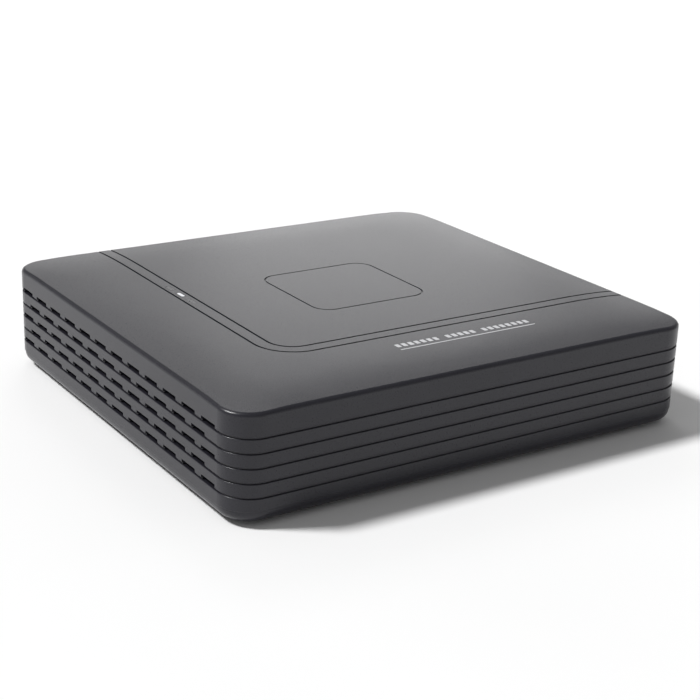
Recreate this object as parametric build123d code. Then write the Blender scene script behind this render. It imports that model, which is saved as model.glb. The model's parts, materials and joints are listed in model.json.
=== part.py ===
from build123d import *
import math
import os

os.makedirs("parts", exist_ok=True)

# A small four-channel video recorder: a grooved plastic case with a hard disk
# in front, a main board behind it and the sockets along the rear panel.
# Millimetres. X runs to the right seen from the front, Y to the back, Z up.
# The origin is on the surface the feet stand on, under the middle of the
# whole recorder, rear sockets included.

# ---------------------------------------------------------------- case
WIDTH = 200.0
DEPTH = 188.0
HEIGHT = 41.0
FOOT_H = 1.5
JACK_REACH = 8.0

LEFT = -WIDTH / 2
FRONT = -(DEPTH + JACK_REACH) / 2
BACK = FRONT + DEPTH
MID_Y = (FRONT + BACK) / 2
BOTTOM = FOOT_H
TOP = BOTTOM + HEIGHT

WALL = 2.5
CORNER_R = 12.0
TOP_EDGE_R = 1.5
BASE_EDGE_R = 4.0
SEAM_Z = BOTTOM + 4.5
FLOOR_Z = BOTTOM + 2.2
FLOOR_VENT_COUNT = 9
FLOOR_VENT_X = -30.0
FLOOR_VENT_PITCH = 12.0
FLOOR_VENT_W = 3.0
FLOOR_VENT_FIELDS = [(FRONT + 36, FRONT + 86), (FRONT + 130, FRONT + 156)]
CEILING_Z = TOP - WALL

# The top is flat in the middle and rolls gently down towards all four edges.
CROWN_REACH = 32.0
CROWN_DROP = 1.1
CROWN_POWER = 2.6
CROWN_STEPS = 32

# Grooves round the skirt, counted from the top one down.
GROOVE_COUNT = 5
GROOVE_TOP_Z = BOTTOM + 30.8
GROOVE_PITCH = 5.3
GROOVE_H = 0.7
GROOVE_DEPTH = 0.55
GROOVE_LIP_R = 0.3

# Air slots that open upward out of the grooves of both side walls, staggered row by row.
VENT_COUNT = 12
VENT_PITCH = 14.0
VENT_LENGTH = 9.6
VENT_H = 2.0
VENT_RISE = (VENT_H - GROOVE_H) / 2
VENT_MID_Y = MID_Y + 1.3

# Pair of fine lines that frame the top: from the back edge, round, to the right edge.
STRIP_X = LEFT + 37.2
STRIP_Y = FRONT + 38.5
STRIP_W = 6.4
STRIP_R = 16.0
LINE_W = 0.9
LINE_DEPTH = 0.6

# Fine rounded square in the middle of the top.
SQUARE_X = 3.4
SQUARE_Y = MID_Y + 3.7
SQUARE_W = 51.0
SQUARE_D = 48.6
SQUARE_R = 7.5
SQUARE_LINE_W = 0.7
SQUARE_LINE_DEPTH = 0.4

# Three light windows in the left leg of the framing lines.
WINDOW_X = STRIP_X + STRIP_W / 2
WINDOW_YS = [MID_Y + 31.2, MID_Y + 22.2, MID_Y + 13.2]
WINDOW_W = 2.2
WINDOW_L = 5.6
WINDOW_GAP = 0.1
PIPE_COLLAR_W = 0.9
PIPE_COLLAR_T = 1.2
LAMP_GAP = 1.4

# Case screws go up through the base into the cover's four bosses.
CASE_SCREWS = [(-88.0, FRONT + 8), (88.0, FRONT + 8), (-91.0, BACK - 12), (91.0, BACK - 12)]
BOSS_R = 3.5
BOSS_FOOT_Z = BOTTOM + 6.5
BOSS_HOLE_DEPTH = 12.0
SCREW_R = 1.5
THREAD_GAP = 0.05
SCREW_GAP = 0.2
SCREW_HEAD_R = 2.8
SCREW_HEAD_H = 1.8
RECESS_R = 3.3
RECESS_TOP_Z = BOTTOM + 3.5
POST_R = 4.9
POST_FOOT_Z = BOTTOM + 0.5
DISK_STUD_R = 3.0
DISK_SHELF_GAP = 0.4
LIP_GAP = 0.3
LIP_W = 1.5
LIP_TOP_Z = SEAM_Z + 1.6
SEAM_STEP = 0.3

FOOT_R = 6.0
FOOT_POCKET = 0.3
FOOT_GAP = 0.1
FOOT_CHAMFER = 0.4
FEET = [(x, y) for x in (-78, 78) for y in (FRONT + 21, BACK - 21)]

# ---------------------------------------------------------------- rear panel
PANEL_T = 1.5
PANEL_OUT_Y = BACK - 2.7
PANEL_IN_Y = PANEL_OUT_Y - PANEL_T
PANEL_HALF_W = 87.0
PANEL_TOP_Z = TOP - 3.5
OPENING_HALF_W = 85.6
OPENING_TOP_Z = TOP - 4.8
CUT_GAP = 0.3
PANEL_SIDE_GAP = 0.2
PANEL_SLOT_GAP = 0.1

# ---------------------------------------------------------------- main board
BOARD_Z = BOTTOM + 6.5
BOARD_T = 1.6
BOARD_TOP = BOARD_Z + BOARD_T
BOARD_FRONT = FRONT + 117.0
BOARD_BACK = PANEL_IN_Y - 0.4
BOARD_HALF_W = 95.3
BOARD_NOTCH_HALF_W = 86.6
BOARD_NOTCH_Y = BACK - 17.0
ARM_FRONT = FRONT + 98.0
ARM_RIGHT = -56.0
BOARD_SCREWS = [(-91.0, 14.0), (-91.0, 62.0), (90.5, 24.0), (90.5, 62.0), (0.0, 24.0)]
STANDOFF_R = 3.2

# Parts on the main board: places of their middles, sizes and heights.
PROCESSOR_AT = (14.0, 44.0)
PROCESSOR_SIZE = 21.0
PROCESSOR_H = 1.8
PROCESSOR_RIM = 1.5
SUBSTRATE_T = 0.8
SINK_SIZE = 28.0
SINK_BASE_T = 2.0
SINK_H = 10.0
SINK_FINS = 8
SINK_FIN_T = 1.2
MEMORY_X = 42.0
MEMORY_YS = [36.0, 53.0]
MEMORY_W = 9.0
MEMORY_L = 13.0
MEMORY_H = 1.1
FLASH_AT = (-12.0, 36.0)
FLASH_SIZE = 5.2
FLASH_H = 1.9
FLASH_LEADS = 4
FLASH_LEAD_PITCH = 1.27
FLASH_LEAD_W = 0.4
FLASH_SPAN = 8.0
VIDEO_CHIP_XS = [-68.0, -40.0]
VIDEO_CHIP_Y = 48.0
VIDEO_CHIP_SIZE = 12.0
VIDEO_CHIP_H = 1.5
VIDEO_CHIP_LEADS = 9
CHIP_LEAD_W = 0.24
CHIP_LEAD_REACH = 1.0
CHIP_LEAD_T = 0.25
CHIP_LIFT = 0.1
CHIP_R = 0.3
TRANSFORMER = (62.0, 74.0, 54.0, 62.0)
TRANSFORMER_H = 6.0
TRANSFORMER_LEADS = 8
TRANSFORMER_LEAD_PITCH = 1.4
TRANSFORMER_LEAD_REACH = 1.2
# Capacitor cans: radius and height, and where they stand.
BIG_CAN = (3.9, 11.0)
SMALL_CAN = (3.1, 7.7)
BIG_CANS_AT = [(82.5, 62.5), (84.5, 44.0)]
SMALL_CANS_AT = [(60.0, 41.0), (-20.0, 58.0), (-84.0, 44.0)]
CAN_FOOT_T = 1.0
COILS_AT = [(74.0, 44.0), (60.0, 30.0), (-26.0, 32.0)]
COIL_SIZE = 7.0
COIL_H = 4.0
COIL_CORE_R = 2.6
CRYSTALS_AT = [(-8.0, 52.0), (-54.0, 36.0)]
CRYSTAL_L = 11.0
CRYSTAL_W = 4.6
CRYSTAL_H = 3.5
BATTERY_AT = (-75.5, 27.0)
BATTERY_R = 10.0
BATTERY_T = 3.2
CUP_R = BATTERY_R + 1.6
CUP_H = 4.2
CUP_FLOOR_T = 1.0
CUP_NOTCH_W = 7.0
BUZZER_AT = (74.0, 31.0)
BUZZER_R = 6.0
BUZZER_H = 8.5
BUZZER_HOLE_R = 1.2
LAMP_W = 1.6
LAMP_L = 3.2
LAMP_H = 1.0
HEADER_L = 8.0
HEADER_H = 6.0
HEADER_WALL = 0.8
HEADER_MOUTH_H = 4.4

# ---------------------------------------------------------------- sockets
VIDEO_XS = [-79.0, -63.5, -48.0, -32.5]
VIDEO_BLOCK = 14.5
VIDEO_BLOCK_DEPTH = 16.0
VIDEO_AXIS_Z = BOARD_TOP + 7.3
VIDEO_R = 4.8
VIDEO_BORE_R = 4.05
VIDEO_INSULATOR_R = 2.4
VIDEO_LUG_R = 1.0
VIDEO_LUG_REACH = 5.6
VIDEO_LUG_BACK = 5.0
VIDEO_ROOT = 6.0
VIDEO_CHAMFER = 0.3
CONTACT_R = 0.75
CONTACT_BORE_R = 0.45
CONTACT_BORE_DEPTH = 5.0
CONTACT_ROOT = 4.0
INSULATOR_BACK = 2.0
CONTACT_BACK = 2.3
BLOCK_R = 0.6

AUDIO_X = -18.0
AUDIO_W = 10.0
AUDIO_BLOCK_DEPTH = 13.0
AUDIO_BLOCK_H = 23.5
AUDIO_AXIS_ZS = [BOARD_TOP + 5.6, BOARD_TOP + 17.6]
AUDIO_R = 4.15
AUDIO_COLLAR_R = 4.5
AUDIO_TIP_Y = BACK + 5.3
AUDIO_ROOT = 3.0
AUDIO_WALL = 0.6
AUDIO_CORE_BORE_R = 1.65
AUDIO_CORE_BACK = 0.8
AUDIO_COLLAR_NOSE = 0.5
AUDIO_CHAMFER = 0.25

VGA_X = 5.5
VGA_Z = BOARD_TOP + 6.4
VGA_FLANGE_W = 30.8
VGA_FLANGE_H = 12.5
VGA_SHELL_W = 16.9
VGA_SHELL_H = 8.3
VGA_SCREW_SPACING = 24.99
VGA_THREAD_R = 1.25
HEX_FLAT = 4.75
HEX_LENGTH = 5.0
VGA_SLOPE = 1.5
VGA_CORNER_R = 2.0
VGA_FLANGE_T = 0.8
VGA_WALL = 0.5
VGA_NOSE = 6.0
VGA_INSERT_BACK = 0.6
VGA_BLOCK_DEPTH = 10.0
VGA_HOLE_R = 0.5
VGA_HOLE_DEPTH = 4.0
VGA_COLUMN_PITCH = 2.29
VGA_ROW_PITCH = 1.98
VGA_ROW_SHIFT = 0.57

HDMI_X = 32.0
HDMI_W = 15.0
HDMI_H = 5.9
HDMI_DEPTH = 11.6
HDMI_WALL = 0.5
HDMI_TONGUE_W = 11.0
HDMI_TONGUE_T = 1.2

USB_X = 50.0
USB_W = 13.2
USB_H = 15.6
USB_DEPTH = 17.5
USB_WALL = 0.4
USB_SHELF_T = 2.6
USB_TONGUE_W = 11.1
USB_TONGUE_T = 1.8
USB_ROOT_L = 5.5
USB_MOUTH_ZS = [BOARD_TOP + 3.9, BOARD_TOP + 11.5]

LAN_X = 68.0
LAN_W = 15.9
LAN_H = 13.4
LAN_DEPTH = 16.0
LAN_MOUTH_DEPTH = 12.5
LAN_MOUTH_TOP = BOARD_TOP + 11.4
# The mouth's steps from the plug's body down to its latch: width, floor, top.
LAN_STEPS = [(11.7, BOARD_TOP + 4.6, LAN_MOUTH_TOP), (6.0, BOARD_TOP + 2.8, BOARD_TOP + 5.0),
             (3.2, BOARD_TOP + 1.4, BOARD_TOP + 3.0)]
LAN_CONTACTS = 8
LAN_CONTACT_PITCH = 1.02
LAN_CONTACT_L = 7.0
LAN_CONTACT_SLOPE = 14.0

POWER_X = 82.0
POWER_W = 9.0
POWER_H = 11.0
POWER_DEPTH = 14.0
POWER_AXIS_Z = BOARD_TOP + 6.4
POWER_BORE_R = 3.2
POWER_PIN_R = 1.05
POWER_BORE_DEPTH = 9.5
POWER_ROUND_R = 2.5
POWER_PIN_BACK = 0.8
NOSE = 0.6
SHELL_R = 0.8

# ---------------------------------------------------------------- hard disk
DISK_L = 147.0
DISK_W = 101.6
DISK_H = 26.1
DISK_RIGHT = 96.5
DISK_LEFT = DISK_RIGHT - DISK_L
DISK_FRONT = FRONT + 12.4
DISK_BACK = DISK_FRONT + DISK_W
DISK_Z = BOTTOM + 7.5
DISK_TOP = DISK_Z + DISK_H
DISK_MID_Y = (DISK_FRONT + DISK_BACK) / 2
DISK_BOARD_T = 1.6
CASTING_Z = DISK_Z + DISK_BOARD_T + 0.2
CASTING_TOP = DISK_TOP - 2.0
DISK_FLOOR_Z = CASTING_Z + 4.4
DISK_LID_T = 1.4

SPINDLE_X = DISK_RIGHT - DISK_W / 2
PLATTER_R = 47.5
PLATTER_T = 1.27
PLATTER_ZS = [DISK_FLOOR_Z + 4.6, DISK_FLOOR_Z + 10.6]
PLATTER_WELL_R = 49.0
HUB_R = 12.4
SHAFT_R = 3.0
RUNNING_GAP = 0.05

PIVOT_X = -6.0
PIVOT_Y = -52.0
ARM_REACH = 50.0
ARM_REST_DEG = 75.2
ARM_BARREL_R = 6.4
ARM_ROOT_HALF_W = 5.5
ARM_TIP_HALF_W = 1.2
ARM_SWING_DEG = 35.0
BLADE_T = 1.2
BLADE_GAP = 0.8
COIL_REACH = 24.0
COIL_W = 16.0
COIL_BAND = 4.0
COIL_T = 3.0
MAGNET_INNER_R = 11.0
MAGNET_OUTER_R = 29.0
MAGNET_SPARE_DEG = 18.0
MAGNET_T = 3.0
MAGNET_GAP = 2.2

# The disk's own details.
DISK_CORNER_R = 3.0
BAY_RIGHT = SPINDLE_X - 30.0
BAY_WALL = 9.0
BAY_R = 4.0
AXLE_BACK = 1.5
SOCKET_DEPTH = 7.0
SOCKET_GAP = 0.6
SOCKET_CUT_H = 5.2
LID_PANEL_R = 44.0
LID_DIMPLE_R = 14.0
LID_DIMPLE_DEPTH = 0.3
LID_SCREW_INSET = 4.2
LID_SCREW_R = 1.0
LID_SCREW_L = 4.5
LID_SCREW_HEAD_R = 2.1
LID_SCREW_HEAD_H = 0.5
HUB_FLANGE = 3.0
HUB_FOOT_T = 1.6
CLAMP_T = 1.5
CLAMP_HOLES = 6
CLAMP_HOLE_R = 1.3
CLAMP_CIRCLE_R = 8.0
DISK_BOARD_INSET = 9.0
DISK_BOARD_RIGHT = SPINDLE_X + 20.0
MOTOR_HOLE_R = 13.0
TONGUE_REACH = 4.0
TONGUE_HALF_T = 0.6

# Threaded holes in the underside of a 3.5 inch disk: 95.25 by 44.45.
DISK_SCREW_XS = [DISK_LEFT + 41.28, DISK_LEFT + 41.28 + 44.45]
DISK_SCREW_YS = [DISK_FRONT + 3.18, DISK_BACK - 3.18]
DISK_SCREWS = [(x, y) for x in DISK_SCREW_XS for y in DISK_SCREW_YS]
DISK_SCREW_DEPTH = 3.4

# ---------------------------------------------------------------- cables
CABLE_Z = BOARD_TOP + 3.0
DATA_PLUG_Y = -38.5
POWER_PLUG_Y = -56.0
DATA_HEADER_X = -71.0
POWER_HEADER_X = -84.0
FAN_HEADER_X = -93.5
PLUG_T = 5.0
DATA_PLUG_W = 10.0
POWER_PLUG_W = 22.0
DATA_PLUG_L = 12.0
POWER_PLUG_L = 16.0
PLUG_WALL = 1.2
PLUG_GAP = 0.2
PLUG_SLOT_DEPTH = 5.0
PLUG_SLOT_HALF_T = 0.8
PLUG_R = 0.8
PLUG_NOSE_L = 4.5
DATA_BOARD_PLUG_L = 11.0
POWER_BOARD_PLUG_L = 7.0
FAN_BOARD_PLUG_L = 5.0
DATA_HEADER_W = 13.0
POWER_HEADER_W = 9.9
FAN_HEADER_W = 5.0
PIN_R = 0.3
PIN_SLOT_R = 0.4
DATA_CABLE_R = 1.8
WIRE_R = 0.85
WIRE_PITCH = 2.0
WIRE_COUNT = 4
WIRE_BEND_R = 9.0
FAN_WIRE_R = 0.6
FAN_WIRE_PITCH = 1.6
FAN_WIRE_RUN = 14.0
FAN_WIRE_BEND_R = 30.0

# ---------------------------------------------------------------- fan
FAN_SIZE = 30.0
FAN_T = 10.0
FAN_LEFT = LEFT + WALL + 0.6
FAN_RIGHT = FAN_LEFT + FAN_T
FAN_MID_X = (FAN_LEFT + FAN_RIGHT) / 2
FAN_Y = FRONT + 28.5
FAN_Z = BOTTOM + 21.5
FAN_HOLE_R = 14.0
FAN_BLADE_R = 13.3
FAN_HUB_R = 7.4
FAN_BLADES = 7
FAN_BLADE_PITCH_DEG = 38.0
FAN_SHAFT_R = 1.0
FAN_SCREW_SPACING = 24.0
FAN_SCREW_R = 1.3
FAN_BACKPLATE_T = 1.6
FAN_STRUT_TURNS = [30, 150, 270]
FAN_STRUT_W = 2.0
FAN_BEARING_WALL = 1.4
FAN_BEARING_L = 6.0
FAN_CORNER_R = 2.0
FAN_CUP_WALL = 1.2
FAN_BLADE_T = 0.9
FAN_BLADE_CHORD = 7.6
FAN_SCREW_HEAD_R = 2.3
FAN_SCREW_HEAD_H = 1.5
BRACKET_T = 1.2
BRACKET_FOOT_L = 10.0
BRACKET_FOOT_W = 16.0


# ---------------------------------------------------------------- helpers
def block(x0, x1, y0, y1, z0, z1):
    """A box between two corners."""
    middle = ((x0 + x1) / 2, (y0 + y1) / 2, (z0 + z1) / 2)
    return Pos(*middle) * Box(x1 - x0, y1 - y0, z1 - z0)


def centred(x, width, y0, y1, z0, z1):
    """A box centred on x."""
    return block(x - width / 2, x + width / 2, y0, y1, z0, z1)


def rod_z(x, y, radius, z0, z1):
    """An upright cylinder."""
    return Pos(x, y, (z0 + z1) / 2) * Cylinder(radius, z1 - z0)


def rod_y(x, z, radius, y0, y1):
    """A cylinder that lies front to back."""
    return Pos(x, (y0 + y1) / 2, z) * Rot(90, 0, 0) * Cylinder(radius, y1 - y0)


def rod_x(y, z, radius, x0, x1):
    """A cylinder that lies left to right."""
    return Pos((x0 + x1) / 2, y, z) * Rot(0, 90, 0) * Cylinder(radius, x1 - x0)


def tube_y(x, z, outer, inner, y0, y1):
    """A tube that lies front to back."""
    return rod_y(x, z, outer, y0, y1) - rod_y(x, z, inner, y0 - 1, y1 + 1)


def slab(x0, x1, y0, y1, radius, z0, z1):
    """A flat block with rounded upright edges."""
    plan = RectangleRounded(x1 - x0, y1 - y0, radius)
    return Pos((x0 + x1) / 2, (y0 + y1) / 2, z0) * extrude(plan, z1 - z0)


def case_slab(inset, z0, z1):
    """A block with the case's plan outline, drawn in by inset."""
    plan = RectangleRounded(WIDTH - 2 * inset, DEPTH - 2 * inset, CORNER_R - inset)
    return Pos(0, MID_Y, z0) * extrude(plan, z1 - z0)


def top_edges(shape):
    """The edges of a shape's highest face."""
    return shape.faces().sort_by(Axis.Z)[-1].edges()


def bottom_edges(shape):
    """The edges of a shape's lowest face."""
    return shape.faces().sort_by(Axis.Z)[0].edges()


def line_ring(x0, x1, y0, y1, radius, width):
    """A deep fine wall round a rounded rectangle, up through the top."""
    outer = slab(x0, x1, y0, y1, radius, CEILING_Z, TOP + 1)
    inner = slab(x0 + width, x1 - width, y0 + width, y1 - width, radius - width, CEILING_Z, TOP + 1)
    return outer - inner


def joined(pieces):
    """One shape from a list that overlap or touch."""
    result = pieces[0]
    for piece in pieces[1:]:
        result = result + piece
    return result


def save(node, *pieces):
    """Write one named piece, or a group of like pieces, as a STEP file."""
    solids = [solid for piece in pieces for solid in piece.solids()]
    shape = solids[0] if len(solids) == 1 else Compound(solids)
    export_step(shape, f"parts/{node}.step")


def pan_screw(x, y, under_head_z, shank_end_z):
    """An upright pan-head screw with a cross recess; the shank runs to shank_end_z."""
    up = 1 if under_head_z > shank_end_z else -1
    head_end = under_head_z + up * SCREW_HEAD_H
    head = rod_z(x, y, SCREW_HEAD_R, min(under_head_z, head_end), max(under_head_z, head_end))
    rim = top_edges(head) if up > 0 else bottom_edges(head)
    head = fillet(rim, SCREW_HEAD_H / 3)
    arm = Box(SCREW_HEAD_R, SCREW_HEAD_H / 4, SCREW_HEAD_H)
    recess = arm + Rot(0, 0, 90) * arm
    head -= Pos(x, y, head_end) * recess
    shank = rod_z(x, y, SCREW_R, min(under_head_z, shank_end_z), max(under_head_z, shank_end_z))
    return head + shank


# ---------------------------------------------------------------- case pieces
def roll_off(along, half):
    """How far the crowned top has dropped at a distance from its middle line."""
    past = max(0.0, abs(along) - half + CROWN_REACH)
    return CROWN_DROP * (past / CROWN_REACH) ** CROWN_POWER


def crowned_block():
    """A block a little wider than the case, under the crowned surface of the top."""
    half_x, half_y = WIDTH / 2 + 1, DEPTH / 2 + 1
    grid = []
    for step_x in range(CROWN_STEPS + 1):
        x = half_x * (2 * step_x / CROWN_STEPS - 1)
        column = []
        for step_y in range(CROWN_STEPS + 1):
            y = half_y * (2 * step_y / CROWN_STEPS - 1)
            drop = roll_off(x, WIDTH / 2) + roll_off(y, DEPTH / 2)
            column.append(Vector(x, MID_Y + y, TOP - drop))
        grid.append(column)
    surface = Face.make_surface_from_array_of_points(grid, tol=0.002)
    return Solid.extrude(surface, Vector(0, 0, -HEIGHT))


def ridge(z0, z1):
    """One band of the skirt, its upper and lower lips softly rounded."""
    band = case_slab(0, z0, z1)
    return fillet(top_edges(band) + bottom_edges(band), GROOVE_LIP_R)


def grooved_case(crown):
    """The cover's outside: a crowned top band and a ridge below each groove, on one core."""
    groove_zs = [GROOVE_TOP_Z - row * GROOVE_PITCH for row in range(GROOVE_COUNT)]
    band = case_slab(0, groove_zs[0] + GROOVE_H / 2, TOP + 1) & crown
    rim = [edge for edge in band.edges() if edge.center().Z > TOP - 3 * CROWN_DROP]
    band = fillet(rim, TOP_EDGE_R)
    band = fillet(bottom_edges(band), GROOVE_LIP_R)
    core = case_slab(GROOVE_DEPTH, SEAM_Z, groove_zs[0] + GROOVE_H)
    lows = [z + GROOVE_H / 2 for z in groove_zs[1:]] + [SEAM_Z]
    ridges = [ridge(low, high - GROOVE_H / 2) for low, high in zip(lows, groove_zs)]
    return joined([band, core] + ridges)


def vent_row(row, side):
    """The air slots of one groove in one side wall; odd rows are staggered by half a pitch."""
    count = VENT_COUNT - row % 2
    z = GROOVE_TOP_Z - row * GROOVE_PITCH + VENT_RISE
    x_in, x_out = side * (WIDTH / 2 - WALL - 0.5), side * (WIDTH / 2 + 0.5)
    cutters = []
    for index in range(count):
        y = VENT_MID_Y + (index - (count - 1) / 2) * VENT_PITCH
        cutters.append(block(min(x_in, x_out), max(x_in, x_out), y - VENT_LENGTH / 2, y + VENT_LENGTH / 2,
                             z - VENT_H / 2, z + VENT_H / 2))
    return cutters


def top_lines(crown):
    """Cutters for the framing lines and the centre square, all of even depth under the crown."""
    far = WIDTH
    shift = STRIP_W - LINE_W
    frame_lines = [
        line_ring(STRIP_X, far, STRIP_Y, far, STRIP_R, LINE_W),
        line_ring(STRIP_X + shift, far, STRIP_Y + shift, far, STRIP_R - shift, LINE_W),
    ]
    square = line_ring(SQUARE_X - SQUARE_W / 2, SQUARE_X + SQUARE_W / 2, SQUARE_Y - SQUARE_D / 2,
                       SQUARE_Y + SQUARE_D / 2, SQUARE_R, SQUARE_LINE_W)
    cutters = [line - Pos(0, 0, -LINE_DEPTH) * crown for line in frame_lines]
    return cutters + [square - Pos(0, 0, -SQUARE_LINE_DEPTH) * crown]


def window_slab(y, grow, z0, z1):
    """A block with a light window's outline, grown all round."""
    return slab(WINDOW_X - WINDOW_W / 2 - grow, WINDOW_X + WINDOW_W / 2 + grow,
                y - WINDOW_L / 2 - grow, y + WINDOW_L / 2 + grow, WINDOW_W / 4, z0, z1)


def make_top_cover():
    """Top, grooved skirt, side vents and four screw bosses in one moulding."""
    crown = crowned_block()
    cover = grooved_case(crown)
    cover -= case_slab(WALL, SEAM_Z - 1, CEILING_Z)
    for x, y in CASE_SCREWS:
        cover += rod_z(x, y, BOSS_R, BOSS_FOOT_Z, CEILING_Z)
    for x, y in CASE_SCREWS:
        cover -= rod_z(x, y, SCREW_R + THREAD_GAP, BOSS_FOOT_Z - 1, BOSS_FOOT_Z + BOSS_HOLE_DEPTH)
    cover -= centred(0, 2 * OPENING_HALF_W, BACK - WALL - 0.5, BACK + 1, SEAM_Z - 1, OPENING_TOP_Z)
    cutters = top_lines(crown)
    for row in range(GROOVE_COUNT):
        cutters += vent_row(row, -1) + vent_row(row, 1)
    cutters += [window_slab(y, WINDOW_GAP, CEILING_Z - 1, TOP + 1) for y in WINDOW_YS]
    return cover - cutters


def floor_vents():
    """Cutters for the two fields of air slots in the base."""
    half = FLOOR_VENT_W / 2
    cutters = []
    for index in range(FLOOR_VENT_COUNT):
        x = FLOOR_VENT_X + index * FLOOR_VENT_PITCH
        for y0, y1 in FLOOR_VENT_FIELDS:
            cutters.append(slab(x - half, x + half, y0, y1, 0.9 * half, BOTTOM - 1, FLOOR_Z + 1))
    return cutters


def make_base_tray():
    """Floor with a rounded lower edge, a lip inside the cover's skirt, and the posts."""
    tray = case_slab(SEAM_STEP, BOTTOM, SEAM_Z)
    tray = fillet(bottom_edges(tray), BASE_EDGE_R)
    lip_inset = WALL + LIP_GAP
    tray += case_slab(lip_inset, SEAM_Z - 1, LIP_TOP_Z)
    tray -= case_slab(lip_inset + LIP_W, FLOOR_Z, LIP_TOP_Z + 1)
    tray -= block(-PANEL_HALF_W - PANEL_SIDE_GAP, PANEL_HALF_W + PANEL_SIDE_GAP, PANEL_IN_Y - PANEL_SLOT_GAP,
                  PANEL_OUT_Y + PANEL_SLOT_GAP, FLOOR_Z, LIP_TOP_Z + 1)
    for x, y in CASE_SCREWS:
        post = rod_z(x, y, POST_R, POST_FOOT_Z, BOSS_FOOT_Z) & case_slab(lip_inset, BOTTOM, BOSS_FOOT_Z)
        tray += post
    for x, y in DISK_SCREWS:
        tray += rod_z(x, y, POST_R, POST_FOOT_Z, DISK_Z - DISK_SHELF_GAP)
        tray += rod_z(x, y, DISK_STUD_R, POST_FOOT_Z, CASTING_Z)
    for x, y in BOARD_SCREWS:
        tray += rod_z(x, y, STANDOFF_R, POST_FOOT_Z, BOARD_Z)
    cutters = floor_vents()
    for x, y in CASE_SCREWS + DISK_SCREWS:
        cutters.append(rod_z(x, y, RECESS_R, BOTTOM - 1, RECESS_TOP_Z))
        cutters.append(rod_z(x, y, SCREW_R + SCREW_GAP, BOTTOM, CASTING_Z + 1))
    cutters += [rod_z(x, y, SCREW_R + THREAD_GAP, FLOOR_Z, BOARD_Z + 1) for x, y in BOARD_SCREWS]
    cutters += [rod_z(x, y, FOOT_R + FOOT_GAP, BOTTOM - 1, BOTTOM + FOOT_POCKET) for x, y in FEET]
    return tray - cutters


def make_feet():
    """Four rubber feet, stuck in shallow pockets."""
    feet = [rod_z(x, y, FOOT_R, 0, BOTTOM + FOOT_POCKET) for x, y in FEET]
    return [chamfer(bottom_edges(foot), FOOT_CHAMFER) for foot in feet]


def make_light_pipes():
    """Clear bars that carry the board's lights up to the windows."""
    pipes = []
    for y in WINDOW_YS:
        bar = window_slab(y, 0, BOARD_TOP + LAMP_GAP, TOP)
        collar = window_slab(y, PIPE_COLLAR_W, CEILING_Z - PIPE_COLLAR_T, CEILING_Z)
        pipes.append(bar + collar)
    return pipes


def make_rear_panel():
    """Flat panel behind the case's rear opening, cut for every socket."""
    panel = centred(0, 2 * PANEL_HALF_W, PANEL_IN_Y, PANEL_OUT_Y, FLOOR_Z + 0.1, PANEL_TOP_Z)
    y0, y1 = PANEL_IN_Y - 1, PANEL_OUT_Y + 1
    cutters = [rod_y(x, VIDEO_AXIS_Z, VIDEO_R + CUT_GAP, y0, y1) for x in VIDEO_XS]
    cutters += [rod_y(AUDIO_X, z, AUDIO_COLLAR_R + CUT_GAP, y0, y1) for z in AUDIO_AXIS_ZS]
    cutters.append(rod_y(POWER_X, POWER_AXIS_Z, POWER_BORE_R + 2 * CUT_GAP, y0, y1))
    cutters.append(vga_outline(CUT_GAP, y0, y1))
    for side in (-1, 1):
        cutters.append(rod_y(VGA_X + side * VGA_SCREW_SPACING / 2, VGA_Z, SCREW_R + CUT_GAP, y0, y1))
    for x, width, height in ((HDMI_X, HDMI_W, HDMI_H), (USB_X, USB_W, USB_H), (LAN_X, LAN_W, LAN_H)):
        z0, z1 = BOARD_TOP - CUT_GAP, BOARD_TOP + height + CUT_GAP
        cutters.append(centred(x, width + 2 * CUT_GAP, y0, y1, z0, z1))
    return panel - cutters


# ---------------------------------------------------------------- main board
def make_main_board():
    """L-shaped board: wide at the back, with an arm forward past the disk's left end."""
    outline = Polyline(
        (-BOARD_HALF_W, ARM_FRONT),
        (ARM_RIGHT, ARM_FRONT),
        (ARM_RIGHT, BOARD_FRONT),
        (BOARD_HALF_W, BOARD_FRONT),
        (BOARD_HALF_W, BOARD_NOTCH_Y),
        (BOARD_NOTCH_HALF_W, BOARD_NOTCH_Y),
        (BOARD_NOTCH_HALF_W, BOARD_BACK),
        (-BOARD_NOTCH_HALF_W, BOARD_BACK),
        (-BOARD_NOTCH_HALF_W, BOARD_NOTCH_Y),
        (-BOARD_HALF_W, BOARD_NOTCH_Y),
        close=True,
    )
    board = Pos(0, 0, BOARD_Z) * extrude(make_face(outline), BOARD_T)
    return board - [rod_z(x, y, SCREW_R + 0.1, BOARD_Z - 1, BOARD_TOP + 1) for x, y in BOARD_SCREWS]


def square_slab(x, y, size, radius, z0, z1):
    """A flat square block with rounded corners, centred on a point."""
    return slab(x - size / 2, x + size / 2, y - size / 2, y + size / 2, radius, z0, z1)


def leaded_chip(x, y):
    """A flat square chip with a row of leads on each side."""
    size = VIDEO_CHIP_SIZE
    pieces = [square_slab(x, y, size, CHIP_R, BOARD_TOP + CHIP_LIFT, BOARD_TOP + VIDEO_CHIP_H)]
    pitch = size * 0.9 / (VIDEO_CHIP_LEADS - 1)
    reach = size / 2 + CHIP_LEAD_REACH
    half = CHIP_LEAD_W / 2
    lead_top = BOARD_TOP + CHIP_LEAD_T
    for index in range(VIDEO_CHIP_LEADS):
        along = (index - (VIDEO_CHIP_LEADS - 1) / 2) * pitch
        pieces.append(block(x - reach, x + reach, y + along - half, y + along + half, BOARD_TOP, lead_top))
        pieces.append(block(x + along - half, x + along + half, y - reach, y + reach, BOARD_TOP, lead_top))
    return joined(pieces)


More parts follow.
